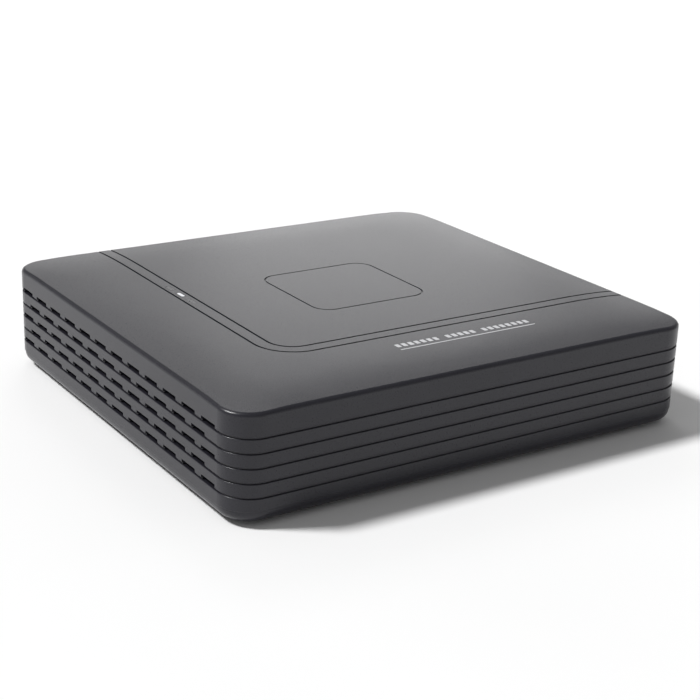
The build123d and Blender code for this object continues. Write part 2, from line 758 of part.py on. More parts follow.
def make_main_processor():
    """The recorder's processor, a flat square package on a thin substrate."""
    x, y = PROCESSOR_AT
    base = square_slab(x, y, PROCESSOR_SIZE, CHIP_R, BOARD_TOP, BOARD_TOP + SUBSTRATE_T)
    cap_size = PROCESSOR_SIZE - 2 * PROCESSOR_RIM
    return base + square_slab(x, y, cap_size, CHIP_R, BOARD_TOP + SUBSTRATE_T, BOARD_TOP + PROCESSOR_H)


def make_heat_sink():
    """Finned aluminium block on the processor."""
    x, y = PROCESSOR_AT
    z = BOARD_TOP + PROCESSOR_H
    half = SINK_SIZE / 2
    sink = block(x - half, x + half, y - half, y + half, z, z + SINK_BASE_T)
    pitch = (SINK_SIZE - SINK_FIN_T) / (SINK_FINS - 1)
    fins = [centred(x - half + SINK_FIN_T / 2 + index * pitch, SINK_FIN_T, y - half, y + half, z, z + SINK_H)
            for index in range(SINK_FINS)]
    return joined([sink] + fins)


def make_memory_chips():
    """Two working-memory chips beside the processor."""
    return [slab(MEMORY_X - MEMORY_W / 2, MEMORY_X + MEMORY_W / 2, y - MEMORY_L / 2, y + MEMORY_L / 2, CHIP_R,
                 BOARD_TOP, BOARD_TOP + MEMORY_H) for y in MEMORY_YS]


def make_flash_chip():
    """Eight-lead chip that holds the recorder's program."""
    x, y = FLASH_AT
    half = FLASH_SIZE / 2
    pieces = [block(x - half, x + half, y - half, y + half, BOARD_TOP + CHIP_LIFT, BOARD_TOP + FLASH_H)]
    for index in range(FLASH_LEADS):
        along = y + (index - (FLASH_LEADS - 1) / 2) * FLASH_LEAD_PITCH
        pieces.append(centred(x, FLASH_SPAN, along - FLASH_LEAD_W / 2, along + FLASH_LEAD_W / 2,
                              BOARD_TOP, BOARD_TOP + CHIP_R))
    return joined(pieces)


def make_video_chips():
    """Two chips that turn the camera signals into data."""
    return [leaded_chip(x, VIDEO_CHIP_Y) for x in VIDEO_CHIP_XS]


def make_network_transformer():
    """Isolating transformer block behind the network socket."""
    x0, x1, y0, y1 = TRANSFORMER
    pieces = [slab(x0, x1, y0, y1, 2 * CHIP_R, BOARD_TOP + CHIP_R, BOARD_TOP + TRANSFORMER_H)]
    for index in range(TRANSFORMER_LEADS):
        x = (x0 + x1) / 2 + (index - (TRANSFORMER_LEADS - 1) / 2) * TRANSFORMER_LEAD_PITCH
        pieces.append(centred(x, FLASH_LEAD_W, y0 - TRANSFORMER_LEAD_REACH, y1 + TRANSFORMER_LEAD_REACH,
                              BOARD_TOP, BOARD_TOP + 2 * CHIP_R))
    return joined(pieces)


def capacitor(x, y, radius, height):
    """An electrolytic can on a square plastic foot."""
    foot_top = BOARD_TOP + CAN_FOOT_T
    foot = square_slab(x, y, 2 * radius, radius / 3, BOARD_TOP, foot_top)
    can = rod_z(x, y, radius - 0.1, foot_top, BOARD_TOP + height)
    return foot + fillet(top_edges(can), radius / 8)


def make_capacitors():
    """Electrolytic capacitors of the supply: two big and three small."""
    big = [capacitor(x, y, *BIG_CAN) for x, y in BIG_CANS_AT]
    return big + [capacitor(x, y, *SMALL_CAN) for x, y in SMALL_CANS_AT]


def make_power_coils():
    """Shielded coils of the voltage converters."""
    coils = []
    for x, y in COILS_AT:
        coil = square_slab(x, y, COIL_SIZE, COIL_SIZE / 6, BOARD_TOP, BOARD_TOP + COIL_H)
        coils.append(coil - rod_z(x, y, COIL_CORE_R, BOARD_TOP + 0.9 * COIL_H, BOARD_TOP + COIL_H + 1))
    return coils


def make_crystals():
    """Clock crystals in low metal cans."""
    return [slab(x - CRYSTAL_L / 2, x + CRYSTAL_L / 2, y - CRYSTAL_W / 2, y + CRYSTAL_W / 2, 0.48 * CRYSTAL_W,
                 BOARD_TOP, BOARD_TOP + CRYSTAL_H) for x, y in CRYSTALS_AT]


def make_battery_holder():
    """Round plastic cup, open at the top, with a gap for a fingertip."""
    x, y = BATTERY_AT
    floor_z = BOARD_TOP + CUP_FLOOR_T
    top = BOARD_TOP + CUP_H
    cup = rod_z(x, y, CUP_R, BOARD_TOP, top)
    cup -= rod_z(x, y, BATTERY_R + SCREW_GAP, floor_z, top + 1)
    return cup - centred(x, CUP_NOTCH_W, y - CUP_R - 1, y - 0.8 * BATTERY_R, floor_z, top + 1)


def make_clock_battery():
    """Coin cell that keeps the clock running."""
    x, y = BATTERY_AT
    floor_z = BOARD_TOP + CUP_FLOOR_T
    cell = rod_z(x, y, BATTERY_R, floor_z, floor_z + BATTERY_T)
    return chamfer(top_edges(cell), BATTERY_T / 6)


def make_buzzer():
    """Round sounder with a hole in its lid."""
    x, y = BUZZER_AT
    drum = rod_z(x, y, BUZZER_R, BOARD_TOP, BOARD_TOP + BUZZER_H)
    drum = fillet(top_edges(drum), BUZZER_R / 10)
    return drum - rod_z(x, y, BUZZER_HOLE_R, BOARD_TOP + 0.7 * BUZZER_H, BOARD_TOP + BUZZER_H + 1)


def make_status_leds():
    """Three lamps on the board, one under each light pipe."""
    return [slab(WINDOW_X - LAMP_W / 2, WINDOW_X + LAMP_W / 2, y - LAMP_L / 2, y + LAMP_L / 2, LAMP_W / 8,
                 BOARD_TOP, BOARD_TOP + LAMP_H) for y in WINDOW_YS]


def header(x, width):
    """A low socket on the board's arm, open to the front for a plug."""
    shell = centred(x, width, ARM_FRONT, ARM_FRONT + HEADER_L, BOARD_TOP, BOARD_TOP + HEADER_H)
    return shell - centred(x, width - 2 * HEADER_WALL, ARM_FRONT - 1, ARM_FRONT + HEADER_L - 2 * HEADER_WALL,
                           CABLE_Z - HEADER_MOUTH_H / 2, CABLE_Z + HEADER_MOUTH_H / 2)


def make_data_header():
    """Black seven-contact socket for the disk's data cable."""
    tongue = centred(DATA_HEADER_X, DATA_HEADER_W - HEADER_MOUTH_H, ARM_FRONT + 0.5, ARM_FRONT + HEADER_L - 1,
                     CABLE_Z - TONGUE_HALF_T, CABLE_Z + TONGUE_HALF_T)
    return header(DATA_HEADER_X, DATA_HEADER_W) + tongue


def make_power_headers():
    """White sockets for the disk's supply and the fan."""
    pieces = []
    for x, width, count in ((POWER_HEADER_X, POWER_HEADER_W, WIRE_COUNT), (FAN_HEADER_X, FAN_HEADER_W, 2)):
        pins = [rod_y(x + (index - (count - 1) / 2) * WIRE_PITCH, CABLE_Z, PIN_R, ARM_FRONT + HEADER_L / 2,
                      ARM_FRONT + HEADER_L - 1) for index in range(count)]
        pieces.append(joined([header(x, width)] + pins))
    return pieces


def make_board_screws():
    """Screws that hold the main board on its standoffs."""
    return [pan_screw(x, y, BOARD_TOP, FLOOR_Z + 0.6) for x, y in BOARD_SCREWS]


def make_case_screws():
    """Screws up through the base into the cover's bosses."""
    return [pan_screw(x, y, RECESS_TOP_Z, BOSS_FOOT_Z + BOSS_HOLE_DEPTH - 2) for x, y in CASE_SCREWS]


# ---------------------------------------------------------------- sockets
def make_video_blocks():
    """Plastic blocks that carry the four video jacks."""
    blocks = []
    for x in VIDEO_XS:
        y1 = PANEL_IN_Y
        body = centred(x, VIDEO_BLOCK, y1 - VIDEO_BLOCK_DEPTH, y1, BOARD_TOP, BOARD_TOP + VIDEO_BLOCK)
        body = fillet(body.edges().filter_by(Axis.Y), BLOCK_R)
        blocks.append(body - rod_y(x, VIDEO_AXIS_Z, VIDEO_R, y1 - VIDEO_ROOT, y1 + 1))
    return blocks


def make_video_barrels():
    """Nickel bayonet barrels with two locking lugs each."""
    tip = BACK + JACK_REACH
    root = PANEL_IN_Y - VIDEO_ROOT
    barrels = []
    for x in VIDEO_XS:
        barrel = rod_y(x, VIDEO_AXIS_Z, VIDEO_R, root, tip)
        barrel = chamfer(barrel.faces().sort_by(Axis.Y)[-1].edges(), VIDEO_CHAMFER)
        barrel -= rod_y(x, VIDEO_AXIS_Z, VIDEO_BORE_R, root + 2, tip + 1)
        lugs = rod_z(x, tip - VIDEO_LUG_BACK, VIDEO_LUG_R, VIDEO_AXIS_Z - VIDEO_LUG_REACH,
                     VIDEO_AXIS_Z + VIDEO_LUG_REACH)
        lugs -= rod_y(x, VIDEO_AXIS_Z, VIDEO_R - VIDEO_CHAMFER, root, tip)
        barrels.append(barrel + lugs)
    return barrels


def make_video_insulators():
    """Pale sleeves round the centre contacts."""
    y0, y1 = PANEL_IN_Y - CONTACT_ROOT, BACK + JACK_REACH - INSULATOR_BACK
    return [tube_y(x, VIDEO_AXIS_Z, VIDEO_INSULATOR_R, CONTACT_R, y0, y1) for x in VIDEO_XS]


def make_video_contacts():
    """Gilt centre contacts with a bore for the plug's pin."""
    y0, y1 = PANEL_IN_Y - CONTACT_ROOT, BACK + JACK_REACH - CONTACT_BACK
    pins = [rod_y(x, VIDEO_AXIS_Z, CONTACT_R, y0, y1) for x in VIDEO_XS]
    return [pin - rod_y(x, VIDEO_AXIS_Z, CONTACT_BORE_R, y1 - CONTACT_BORE_DEPTH, y1 + 1)
            for pin, x in zip(pins, VIDEO_XS)]


def make_audio_block():
    """Housing of the stacked pair of phono jacks."""
    y1 = PANEL_IN_Y
    body = centred(AUDIO_X, AUDIO_W, y1 - AUDIO_BLOCK_DEPTH, y1, BOARD_TOP, BOARD_TOP + AUDIO_BLOCK_H)
    return body - [rod_y(AUDIO_X, z, AUDIO_COLLAR_R, y1 - AUDIO_ROOT, y1 + 1) for z in AUDIO_AXIS_ZS]


def make_audio_barrels():
    """Nickel outer contacts of the phono jacks, each with a collar through the panel."""
    barrels = []
    for z in AUDIO_AXIS_ZS:
        root = PANEL_IN_Y - AUDIO_ROOT
        barrel = rod_y(AUDIO_X, z, AUDIO_R, root, AUDIO_TIP_Y)
        barrel = chamfer(barrel.faces().sort_by(Axis.Y)[-1].edges(), AUDIO_CHAMFER)
        barrel += rod_y(AUDIO_X, z, AUDIO_COLLAR_R, root, PANEL_OUT_Y + AUDIO_COLLAR_NOSE)
        barrels.append(barrel - rod_y(AUDIO_X, z, AUDIO_R - AUDIO_WALL, root - 1, AUDIO_TIP_Y + 1))
    return barrels


def make_audio_cores():
    """Coloured cores with the bore for the plug's pin."""
    return [tube_y(AUDIO_X, z, AUDIO_R - AUDIO_WALL, AUDIO_CORE_BORE_R, PANEL_IN_Y - AUDIO_ROOT,
                   AUDIO_TIP_Y - AUDIO_CORE_BACK) for z in AUDIO_AXIS_ZS]


def vga_outline(grow, y0, y1):
    """The D shape of the monitor socket, grown all round, as a block."""
    half_w, half_h = VGA_SHELL_W / 2, VGA_SHELL_H / 2
    outline = Polyline((-half_w + VGA_SLOPE, -half_h), (half_w - VGA_SLOPE, -half_h), (half_w, half_h),
                       (-half_w, half_h), close=True)
    shape = extrude(make_face(outline), y1 - y0)
    shape = fillet(shape.edges().filter_by(Axis.Z), VGA_CORNER_R)
    if grow:
        shape = offset(shape, grow)
        shape = shape & Box(2 * VGA_FLANGE_W, 2 * VGA_FLANGE_W, 2 * (y1 - y0 + grow))
    return Pos(VGA_X, y0, VGA_Z) * Rot(90, 0, 0) * mirror(shape, Plane.XY)


def make_vga_shell():
    """Plated flange and D-shaped shell of the monitor socket."""
    tip = PANEL_IN_Y + VGA_NOSE
    bore = vga_outline(-VGA_WALL, PANEL_IN_Y - 2, tip + 1)
    shell = vga_outline(0, PANEL_IN_Y - VGA_FLANGE_T / 2, tip) - bore
    flange = centred(VGA_X, VGA_FLANGE_W, PANEL_IN_Y - VGA_FLANGE_T, PANEL_IN_Y, VGA_Z - VGA_FLANGE_H / 2,
                     VGA_Z + VGA_FLANGE_H / 2) - bore
    for side in (-1, 1):
        flange -= rod_y(VGA_X + side * VGA_SCREW_SPACING / 2, VGA_Z, SCREW_R, PANEL_IN_Y - 2, PANEL_IN_Y + 1)
    return shell + flange


def make_vga_insert():
    """Blue insert with three rows of contact holes, and its block on the board."""
    tip = PANEL_IN_Y + VGA_NOSE - VGA_INSERT_BACK
    insert = vga_outline(-VGA_WALL - THREAD_GAP, PANEL_IN_Y - 2, tip)
    y0, y1 = PANEL_IN_Y - VGA_BLOCK_DEPTH, PANEL_IN_Y - VGA_FLANGE_T
    body = centred(VGA_X, VGA_SCREW_SPACING - HEX_FLAT, y0, y1, BOARD_TOP, VGA_Z + 0.4 * VGA_FLANGE_H)
    insert = insert + body
    holes = []
    for row in (-1, 0, 1):
        for index in range(5):
            x = VGA_X + (index - 2) * VGA_COLUMN_PITCH + row * VGA_ROW_SHIFT
            holes.append(rod_y(x, VGA_Z + row * VGA_ROW_PITCH, VGA_HOLE_R, tip - VGA_HOLE_DEPTH, tip + 1))
    return insert - holes


def make_vga_jack_screws():
    """Hexagonal threaded pillars that take the monitor plug's screws."""
    screws = []
    for side in (-1, 1):
        x = VGA_X + side * VGA_SCREW_SPACING / 2
        pillar = extrude(RegularPolygon(HEX_FLAT / 2, 6, major_radius=False), HEX_LENGTH)
        pillar = Pos(x, PANEL_OUT_Y + HEX_LENGTH, VGA_Z) * Rot(90, 0, 0) * pillar
        pillar += rod_y(x, VGA_Z, SCREW_R - THREAD_GAP, PANEL_IN_Y - HEX_FLAT, PANEL_OUT_Y)
        screws.append(pillar - rod_y(x, VGA_Z, VGA_THREAD_R, PANEL_OUT_Y - 1, PANEL_OUT_Y + HEX_LENGTH + 1))
    return screws


def shell_box(x, width, height, depth, wall):
    """A folded metal shell open to the back, its nose just through the panel."""
    y1 = PANEL_OUT_Y + NOSE
    shell = centred(x, width, y1 - depth, y1, BOARD_TOP, BOARD_TOP + height)
    shell = fillet(shell.edges().filter_by(Axis.Y), SHELL_R)
    return shell - centred(x, width - 2 * wall, y1 - depth + wall, y1 + 1, BOARD_TOP + wall,
                           BOARD_TOP + height - wall)


def make_hdmi_shell():
    """Metal shell of the high-definition monitor socket."""
    return shell_box(HDMI_X, HDMI_W, HDMI_H, HDMI_DEPTH, HDMI_WALL)


def make_hdmi_tongue():
    """Contact tongue inside the high-definition socket."""
    y1 = PANEL_OUT_Y + NOSE
    z = BOARD_TOP + HDMI_H / 2
    back = y1 - HDMI_DEPTH + HDMI_WALL
    root_end = back + 2 * HDMI_TONGUE_T
    half_root = 0.78 * HDMI_H / 2
    root = centred(HDMI_X, HDMI_W - 2.4 * HDMI_WALL, back, root_end, z - half_root, z + half_root)
    return root + centred(HDMI_X, HDMI_TONGUE_W, back, y1 - 2, z - HDMI_TONGUE_T / 2, z + HDMI_TONGUE_T / 2)


def make_usb_shell():
    """Metal shell of the stacked pair of USB sockets, with a dividing shelf."""
    shell = shell_box(USB_X, USB_W, USB_H, USB_DEPTH, USB_WALL)
    y1 = PANEL_OUT_Y + NOSE
    z = BOARD_TOP + USB_H / 2
    return shell + centred(USB_X, USB_W - USB_WALL, y1 - USB_DEPTH + USB_WALL / 2, y1, z - USB_SHELF_T / 2,
                           z + USB_SHELF_T / 2)


def make_usb_tongues():
    """White contact tongues, one in each USB socket."""
    y1 = PANEL_OUT_Y + NOSE
    back = y1 - USB_DEPTH + USB_WALL + 0.1
    half_root = 1.2 * USB_TONGUE_T
    tongues = []
    for z in USB_MOUTH_ZS:
        root = centred(USB_X, USB_W - 3 * USB_WALL, back, back + USB_ROOT_L, z - half_root, z + half_root)
        tongues.append(root + centred(USB_X, USB_TONGUE_W, back, y1 - 1.5, z + 0.2, z + 0.2 + USB_TONGUE_T))
    return tongues


def make_lan_socket():
    """Network socket housing with a stepped mouth for the plug and its latch."""
    y1 = PANEL_OUT_Y + NOSE
    body = centred(LAN_X, LAN_W, y1 - LAN_DEPTH, y1, BOARD_TOP, BOARD_TOP + LAN_H)
    return body - [centred(LAN_X, width, y1 - LAN_MOUTH_DEPTH, y1 + 1, floor_z, top)
                   for width, floor_z, top in LAN_STEPS]


def make_lan_contacts():
    """Eight sprung gilt wires, sloping back from the mouth's ceiling."""
    y = PANEL_OUT_Y + NOSE - 0.6 * LAN_MOUTH_DEPTH
    wire = Rot(-LAN_CONTACT_SLOPE, 0, 0) * Box(LAN_CONTACT_PITCH / 3, LAN_CONTACT_L, LAN_CONTACT_PITCH / 3)
    return [Pos(LAN_X + (index - (LAN_CONTACTS - 1) / 2) * LAN_CONTACT_PITCH, y, LAN_MOUTH_TOP - 1.0) * wire
            for index in range(LAN_CONTACTS)]


def make_power_jack():
    """Barrel socket for the supply's plug."""
    y1 = PANEL_IN_Y
    body = centred(POWER_X, POWER_W, y1 - POWER_DEPTH, y1, BOARD_TOP, BOARD_TOP + POWER_H)
    body = fillet(body.edges().filter_by(Axis.Y).sort_by(Axis.Z)[-2:], POWER_ROUND_R)
    return body - rod_y(POWER_X, POWER_AXIS_Z, POWER_BORE_R, y1 - POWER_BORE_DEPTH, y1 + 1)


def make_power_pin():
    """Centre pin of the supply socket."""
    y0, y1 = PANEL_IN_Y - POWER_BORE_DEPTH, PANEL_IN_Y - POWER_PIN_BACK
    pin = rod_y(POWER_X, POWER_AXIS_Z, POWER_PIN_R, y0, y1)
    return fillet(pin.faces().sort_by(Axis.Y)[-1].edges(), POWER_PIN_R / 2)


# ---------------------------------------------------------------- hard disk
SOCKET_Y0 = POWER_PLUG_Y - POWER_PLUG_W / 2
SOCKET_Y1 = DATA_PLUG_Y + DATA_PLUG_W / 2
DISK_LID_SCREWS = [(x, y) for x in (DISK_RIGHT - LID_SCREW_INSET, DISK_LEFT + LID_SCREW_INSET)
                   for y in (DISK_FRONT + LID_SCREW_INSET, DISK_BACK - LID_SCREW_INSET)]


def socket_notch(z0, z1):
    """The cut-out that the disk's socket sits in."""
    y0, y1 = SOCKET_Y0 - SOCKET_GAP, SOCKET_Y1 + SOCKET_GAP
    return block(DISK_LEFT - 1, DISK_LEFT + SOCKET_DEPTH + 0.2, y0, y1, z0, z1)


def make_disk_casting():
    """Aluminium tub of the disk with a round well, the shaft and the arm's post."""
    tub = slab(DISK_LEFT, DISK_RIGHT, DISK_FRONT, DISK_BACK, DISK_CORNER_R, CASTING_Z, CASTING_TOP)
    well = rod_z(SPINDLE_X, DISK_MID_Y, PLATTER_WELL_R, DISK_FLOOR_Z, CASTING_TOP + 1)
    y0, y1 = DISK_FRONT + BAY_WALL / 3, DISK_BACK - 2 * BAY_WALL / 3
    bay = slab(DISK_LEFT + BAY_WALL, BAY_RIGHT, y0, y1, BAY_R, DISK_FLOOR_Z, CASTING_TOP + 1)
    tub -= [well, bay, socket_notch(CASTING_Z - 1, CASTING_Z + SOCKET_CUT_H)]
    for x, y in ((SPINDLE_X, DISK_MID_Y), (PIVOT_X, PIVOT_Y)):
        tub += rod_z(x, y, SHAFT_R, DISK_FLOOR_Z - 1, CASTING_TOP - AXLE_BACK)
    holes = [rod_z(x, y, SCREW_R + THREAD_GAP, CASTING_Z - 1, CASTING_Z + DISK_SCREW_DEPTH)
             for x, y in DISK_SCREWS]
    holes += [rod_z(x, y, LID_SCREW_R + THREAD_GAP, CASTING_TOP - LID_SCREW_L - 0.5, CASTING_TOP + 1)
              for x, y in DISK_LID_SCREWS]
    return tub - holes


def make_disk_cover():
    """Pressed steel lid of the disk with a raised round over the platters."""
    z0 = CASTING_TOP
    z1 = z0 + DISK_LID_T
    lid = slab(DISK_LEFT, DISK_RIGHT, DISK_FRONT, DISK_BACK, DISK_CORNER_R, z0, z1)
    lid += rod_z(SPINDLE_X, DISK_MID_Y, LID_PANEL_R, z1, DISK_TOP)
    y0, y1 = PIVOT_Y - LID_PANEL_R / 2, DISK_BACK - LID_DIMPLE_R
    lid += slab(DISK_LEFT + LID_DIMPLE_R, SPINDLE_X, y0, y1, 2 * BAY_R, z1, DISK_TOP)
    lid -= rod_z(SPINDLE_X, DISK_MID_Y, LID_DIMPLE_R, DISK_TOP - LID_DIMPLE_DEPTH, DISK_TOP + 1)
    return lid - [rod_z(x, y, LID_SCREW_R + SCREW_GAP, z0 - 1, z1 + 1) for x, y in DISK_LID_SCREWS]


def make_disk_cover_screws():
    """Small screws at the lid's corners, with a hexagon socket."""
    z = CASTING_TOP + DISK_LID_T
    socket = extrude(RegularPolygon(LID_SCREW_HEAD_R * 0.43, 6), 1)
    screws = []
    for x, y in DISK_LID_SCREWS:
        head = rod_z(x, y, LID_SCREW_HEAD_R, z, z + LID_SCREW_HEAD_H) - Pos(x, y, z + 0.2) * socket
        screws.append(head + rod_z(x, y, LID_SCREW_R, CASTING_TOP - LID_SCREW_L, z))
    return screws


def make_disk_platters():
    """Two polished platters."""
    platters = []
    for z in PLATTER_ZS:
        disc = rod_z(SPINDLE_X, DISK_MID_Y, PLATTER_R, z, z + PLATTER_T)
        platters.append(disc - rod_z(SPINDLE_X, DISK_MID_Y, HUB_R, z - 1, z + PLATTER_T + 1))
    return platters


def make_disk_hub():
    """Motor hub on the fixed shaft, with a spacer between the platters and a clamp on top."""
    low, high = PLATTER_ZS
    top = high + PLATTER_T
    flange_r = HUB_R + HUB_FLANGE
    hub = rod_z(SPINDLE_X, DISK_MID_Y, HUB_R, low - HUB_FOOT_T, top)
    for z0, z1 in ((low - HUB_FOOT_T, low), (low + PLATTER_T, high), (top, top + CLAMP_T)):
        hub += rod_z(SPINDLE_X, DISK_MID_Y, flange_r, z0, z1)
    hub -= rod_z(SPINDLE_X, DISK_MID_Y, SHAFT_R + RUNNING_GAP, low - 2 * HUB_FOOT_T, top + 2 * CLAMP_T)
    ring = PolarLocations(CLAMP_CIRCLE_R, CLAMP_HOLES)
    hole = Cylinder(CLAMP_HOLE_R, 2 * CLAMP_T * 2 / 3)
    return hub - [Pos(SPINDLE_X, DISK_MID_Y, top + CLAMP_T) * place * hole for place in ring]


def arm_blade(z0, z1):
    """One thin tapered arm, pointing along +X from the pivot at the origin."""
    shoulder = ARM_REACH - ARM_ROOT_HALF_W
    half = ARM_TIP_HALF_W
    outline = Polyline((0, -ARM_ROOT_HALF_W), (shoulder, -half - 0.4), (ARM_REACH, -half), (ARM_REACH, half),
                       (shoulder, half + 0.4), (0, ARM_ROOT_HALF_W), close=True)
    return Pos(0, 0, z0) * extrude(make_face(outline), z1 - z0)


def make_disk_arm():
    """Head arm: a bearing barrel, three blades reaching over the platters, and the coil."""
    low, high = PLATTER_ZS
    base = DISK_FLOOR_Z + HUB_FOOT_T
    top = high + PLATTER_T + BLADE_GAP + 2 * BLADE_T
    middle = (low + PLATTER_T + high) / 2
    upper = high + PLATTER_T + BLADE_GAP
    arm = rod_z(0, 0, ARM_BARREL_R, base, top)
    arm += arm_blade(low - BLADE_GAP - BLADE_T, low - BLADE_GAP)
    arm += arm_blade(middle - BLADE_GAP, middle + BLADE_GAP)
    arm += arm_blade(upper, upper + BLADE_T)
    half_w, half_t = COIL_W / 2, COIL_T / 2
    coil = slab(-COIL_REACH, -COIL_BAND, -half_w, half_w, COIL_T, middle - half_t, middle + half_t)
    coil -= slab(-COIL_REACH + COIL_BAND, -MAGNET_INNER_R, COIL_BAND - half_w, half_w - COIL_BAND, half_t,
                 middle - COIL_T, middle + COIL_T)
    arm += coil
    arm -= rod_z(0, 0, SHAFT_R + RUNNING_GAP, base - 1, top + 1)
    return Pos(PIVOT_X, PIVOT_Y, 0) * Rot(0, 0, ARM_REST_DEG) * arm


def make_disk_magnets():
    """Two curved magnet plates, under and over the coil's travel."""
    middle = (PLATTER_ZS[0] + PLATTER_T + PLATTER_ZS[1]) / 2
    start = ARM_REST_DEG + 180 - ARM_SWING_DEG - MAGNET_SPARE_DEG
    span = ARM_SWING_DEG + 2 * MAGNET_SPARE_DEG
    start_turn, middle_turn, end_turn = [math.radians(start + span * part) for part in (0, 0.5, 1)]

    def rim(radius, turn):
        return (radius * math.cos(turn), radius * math.sin(turn))

    outer = ThreePointArc(rim(MAGNET_OUTER_R, start_turn), rim(MAGNET_OUTER_R, middle_turn),
                          rim(MAGNET_OUTER_R, end_turn))
    inner = ThreePointArc(rim(MAGNET_INNER_R, end_turn), rim(MAGNET_INNER_R, middle_turn),
                          rim(MAGNET_INNER_R, start_turn))
    edge_in = Line(rim(MAGNET_OUTER_R, end_turn), rim(MAGNET_INNER_R, end_turn))
    edge_out = Line(rim(MAGNET_INNER_R, start_turn), rim(MAGNET_OUTER_R, start_turn))
    face = make_face([outer, edge_in, inner, edge_out])
    return [Pos(PIVOT_X, PIVOT_Y, z) * extrude(face, MAGNET_T)
            for z in (middle - MAGNET_GAP - MAGNET_T, middle + MAGNET_GAP)]


def make_disk_board():
    """Controller board under the disk, clear of the mounting holes."""
    y0, y1 = DISK_FRONT + DISK_BOARD_INSET, DISK_BACK - DISK_BOARD_INSET
    board = slab(DISK_LEFT + 2, DISK_BOARD_RIGHT, y0, y1, 2, DISK_Z, DISK_Z + DISK_BOARD_T)
    board -= socket_notch(DISK_Z - 1, DISK_Z + 2 * DISK_BOARD_T)
    return board - rod_z(SPINDLE_X, DISK_MID_Y, MOTOR_HOLE_R, DISK_Z - 1, DISK_Z + 2 * DISK_BOARD_T)


def make_disk_socket():
    """Black socket at the disk's left end with the data and power tongues."""
    body = block(DISK_LEFT, DISK_LEFT + SOCKET_DEPTH, SOCKET_Y0, SOCKET_Y1, CABLE_Z - 3.0, CABLE_Z + 2.8)
    for y, width in ((DATA_PLUG_Y, DATA_PLUG_W), (POWER_PLUG_Y, POWER_PLUG_W)):
        half = width / 2 - PLUG_WALL - 0.3
        body += block(DISK_LEFT - TONGUE_REACH, DISK_LEFT + 1, y - half, y + half, CABLE_Z - TONGUE_HALF_T,
                      CABLE_Z + TONGUE_HALF_T)
    return body


def make_disk_mount_screws():
    """Screws up through the base into the disk's underside."""
    return [pan_screw(x, y, RECESS_TOP_Z, CASTING_Z + DISK_SCREW_DEPTH - 0.4) for x, y in DISK_SCREWS]


# ---------------------------------------------------------------- cables
def swept_round(points, bend, radius):
    """A round cable of straight runs joined by arcs."""
    path = FilletPolyline(*points, radius=bend)
    start = Plane(origin=path @ 0, z_dir=path % 0)
    return sweep(start * Circle(radius), path)


def disk_plug(y, width, length):
    """A cable plug on one of the disk socket's tongues."""
    x1 = DISK_LEFT - PLUG_GAP
    half = width / 2
    plug = block(x1 - length, x1, y - half, y + half, CABLE_Z - PLUG_T / 2, CABLE_Z + PLUG_T / 2)
    plug = fillet(plug.edges().filter_by(Axis.X), PLUG_R)
    return plug - block(x1 - PLUG_SLOT_DEPTH, x1 + 1, y - half + PLUG_WALL, y + half - PLUG_WALL,
                        CABLE_Z - PLUG_SLOT_HALF_T, CABLE_Z + PLUG_SLOT_HALF_T)


def board_plug(x, width, reach):
    """A cable plug pushed into a header on the board's arm."""
    half_nose = HEADER_MOUTH_H / 2 - PLUG_GAP
    half_t = PLUG_T / 2
    y0, y1 = ARM_FRONT - reach, ARM_FRONT - PLUG_GAP
    nose_end = ARM_FRONT + PLUG_NOSE_L
    nose = centred(x, width - 2, ARM_FRONT - 1, nose_end, CABLE_Z - half_nose, CABLE_Z + half_nose)
    return nose + centred(x, width, y0, y1, CABLE_Z - half_t, CABLE_Z + half_t)


def pin_slots(x, count):
    """Cutters for the bores of a board plug, one for each header pin."""
    xs = [x + (index - (count - 1) / 2) * WIRE_PITCH for index in range(count)]
    return [rod_y(at, CABLE_Z, PIN_SLOT_R, ARM_FRONT + 3, ARM_FRONT + 5) for at in xs]


def make_data_cable():
    """Round data cable from the disk to the board's data socket."""
    x0 = DISK_LEFT - PLUG_GAP - DATA_PLUG_L
    points = [(x0, DATA_PLUG_Y, CABLE_Z), (DATA_HEADER_X, DATA_PLUG_Y, CABLE_Z),
              (DATA_HEADER_X, ARM_FRONT - DATA_BOARD_PLUG_L, CABLE_Z)]
    return swept_round(points, x0 - DATA_HEADER_X - 0.1, DATA_CABLE_R)


def make_data_plugs():
    """The data cable's two plugs."""
    z0, z1 = CABLE_Z - PLUG_SLOT_HALF_T, CABLE_Z + PLUG_SLOT_HALF_T
    slot = centred(DATA_HEADER_X, DATA_PLUG_W - 1, ARM_FRONT, ARM_FRONT + PLUG_SLOT_DEPTH, z0, z1)
    board_end = board_plug(DATA_HEADER_X, DATA_HEADER_W - 1, DATA_BOARD_PLUG_L) - slot
    return [disk_plug(DATA_PLUG_Y, DATA_PLUG_W, DATA_PLUG_L), board_end]


def make_disk_power_wires():
    """Four wires side by side from the disk's supply plug to the board."""
    x0 = DISK_LEFT - PLUG_GAP - POWER_PLUG_L
    wires = []
    for index in range(WIRE_COUNT):
        along = (index - (WIRE_COUNT - 1) / 2) * WIRE_PITCH
        y = POWER_PLUG_Y - along
        x = POWER_HEADER_X - along
        bend = WIRE_BEND_R + (WIRE_COUNT - 1) / 2 * WIRE_PITCH + along
        points = [(x0, y, CABLE_Z), (x, y, CABLE_Z), (x, ARM_FRONT - POWER_BOARD_PLUG_L, CABLE_Z)]
        wires.append(swept_round(points, bend, WIRE_R))
    return wires


def make_disk_power_plugs():
    """The supply wires' two plugs."""
    disk_end = disk_plug(POWER_PLUG_Y, POWER_PLUG_W, POWER_PLUG_L)
    board_end = board_plug(POWER_HEADER_X, POWER_HEADER_W - 0.3, POWER_BOARD_PLUG_L)
    return [disk_end, board_end - pin_slots(POWER_HEADER_X, WIRE_COUNT)]


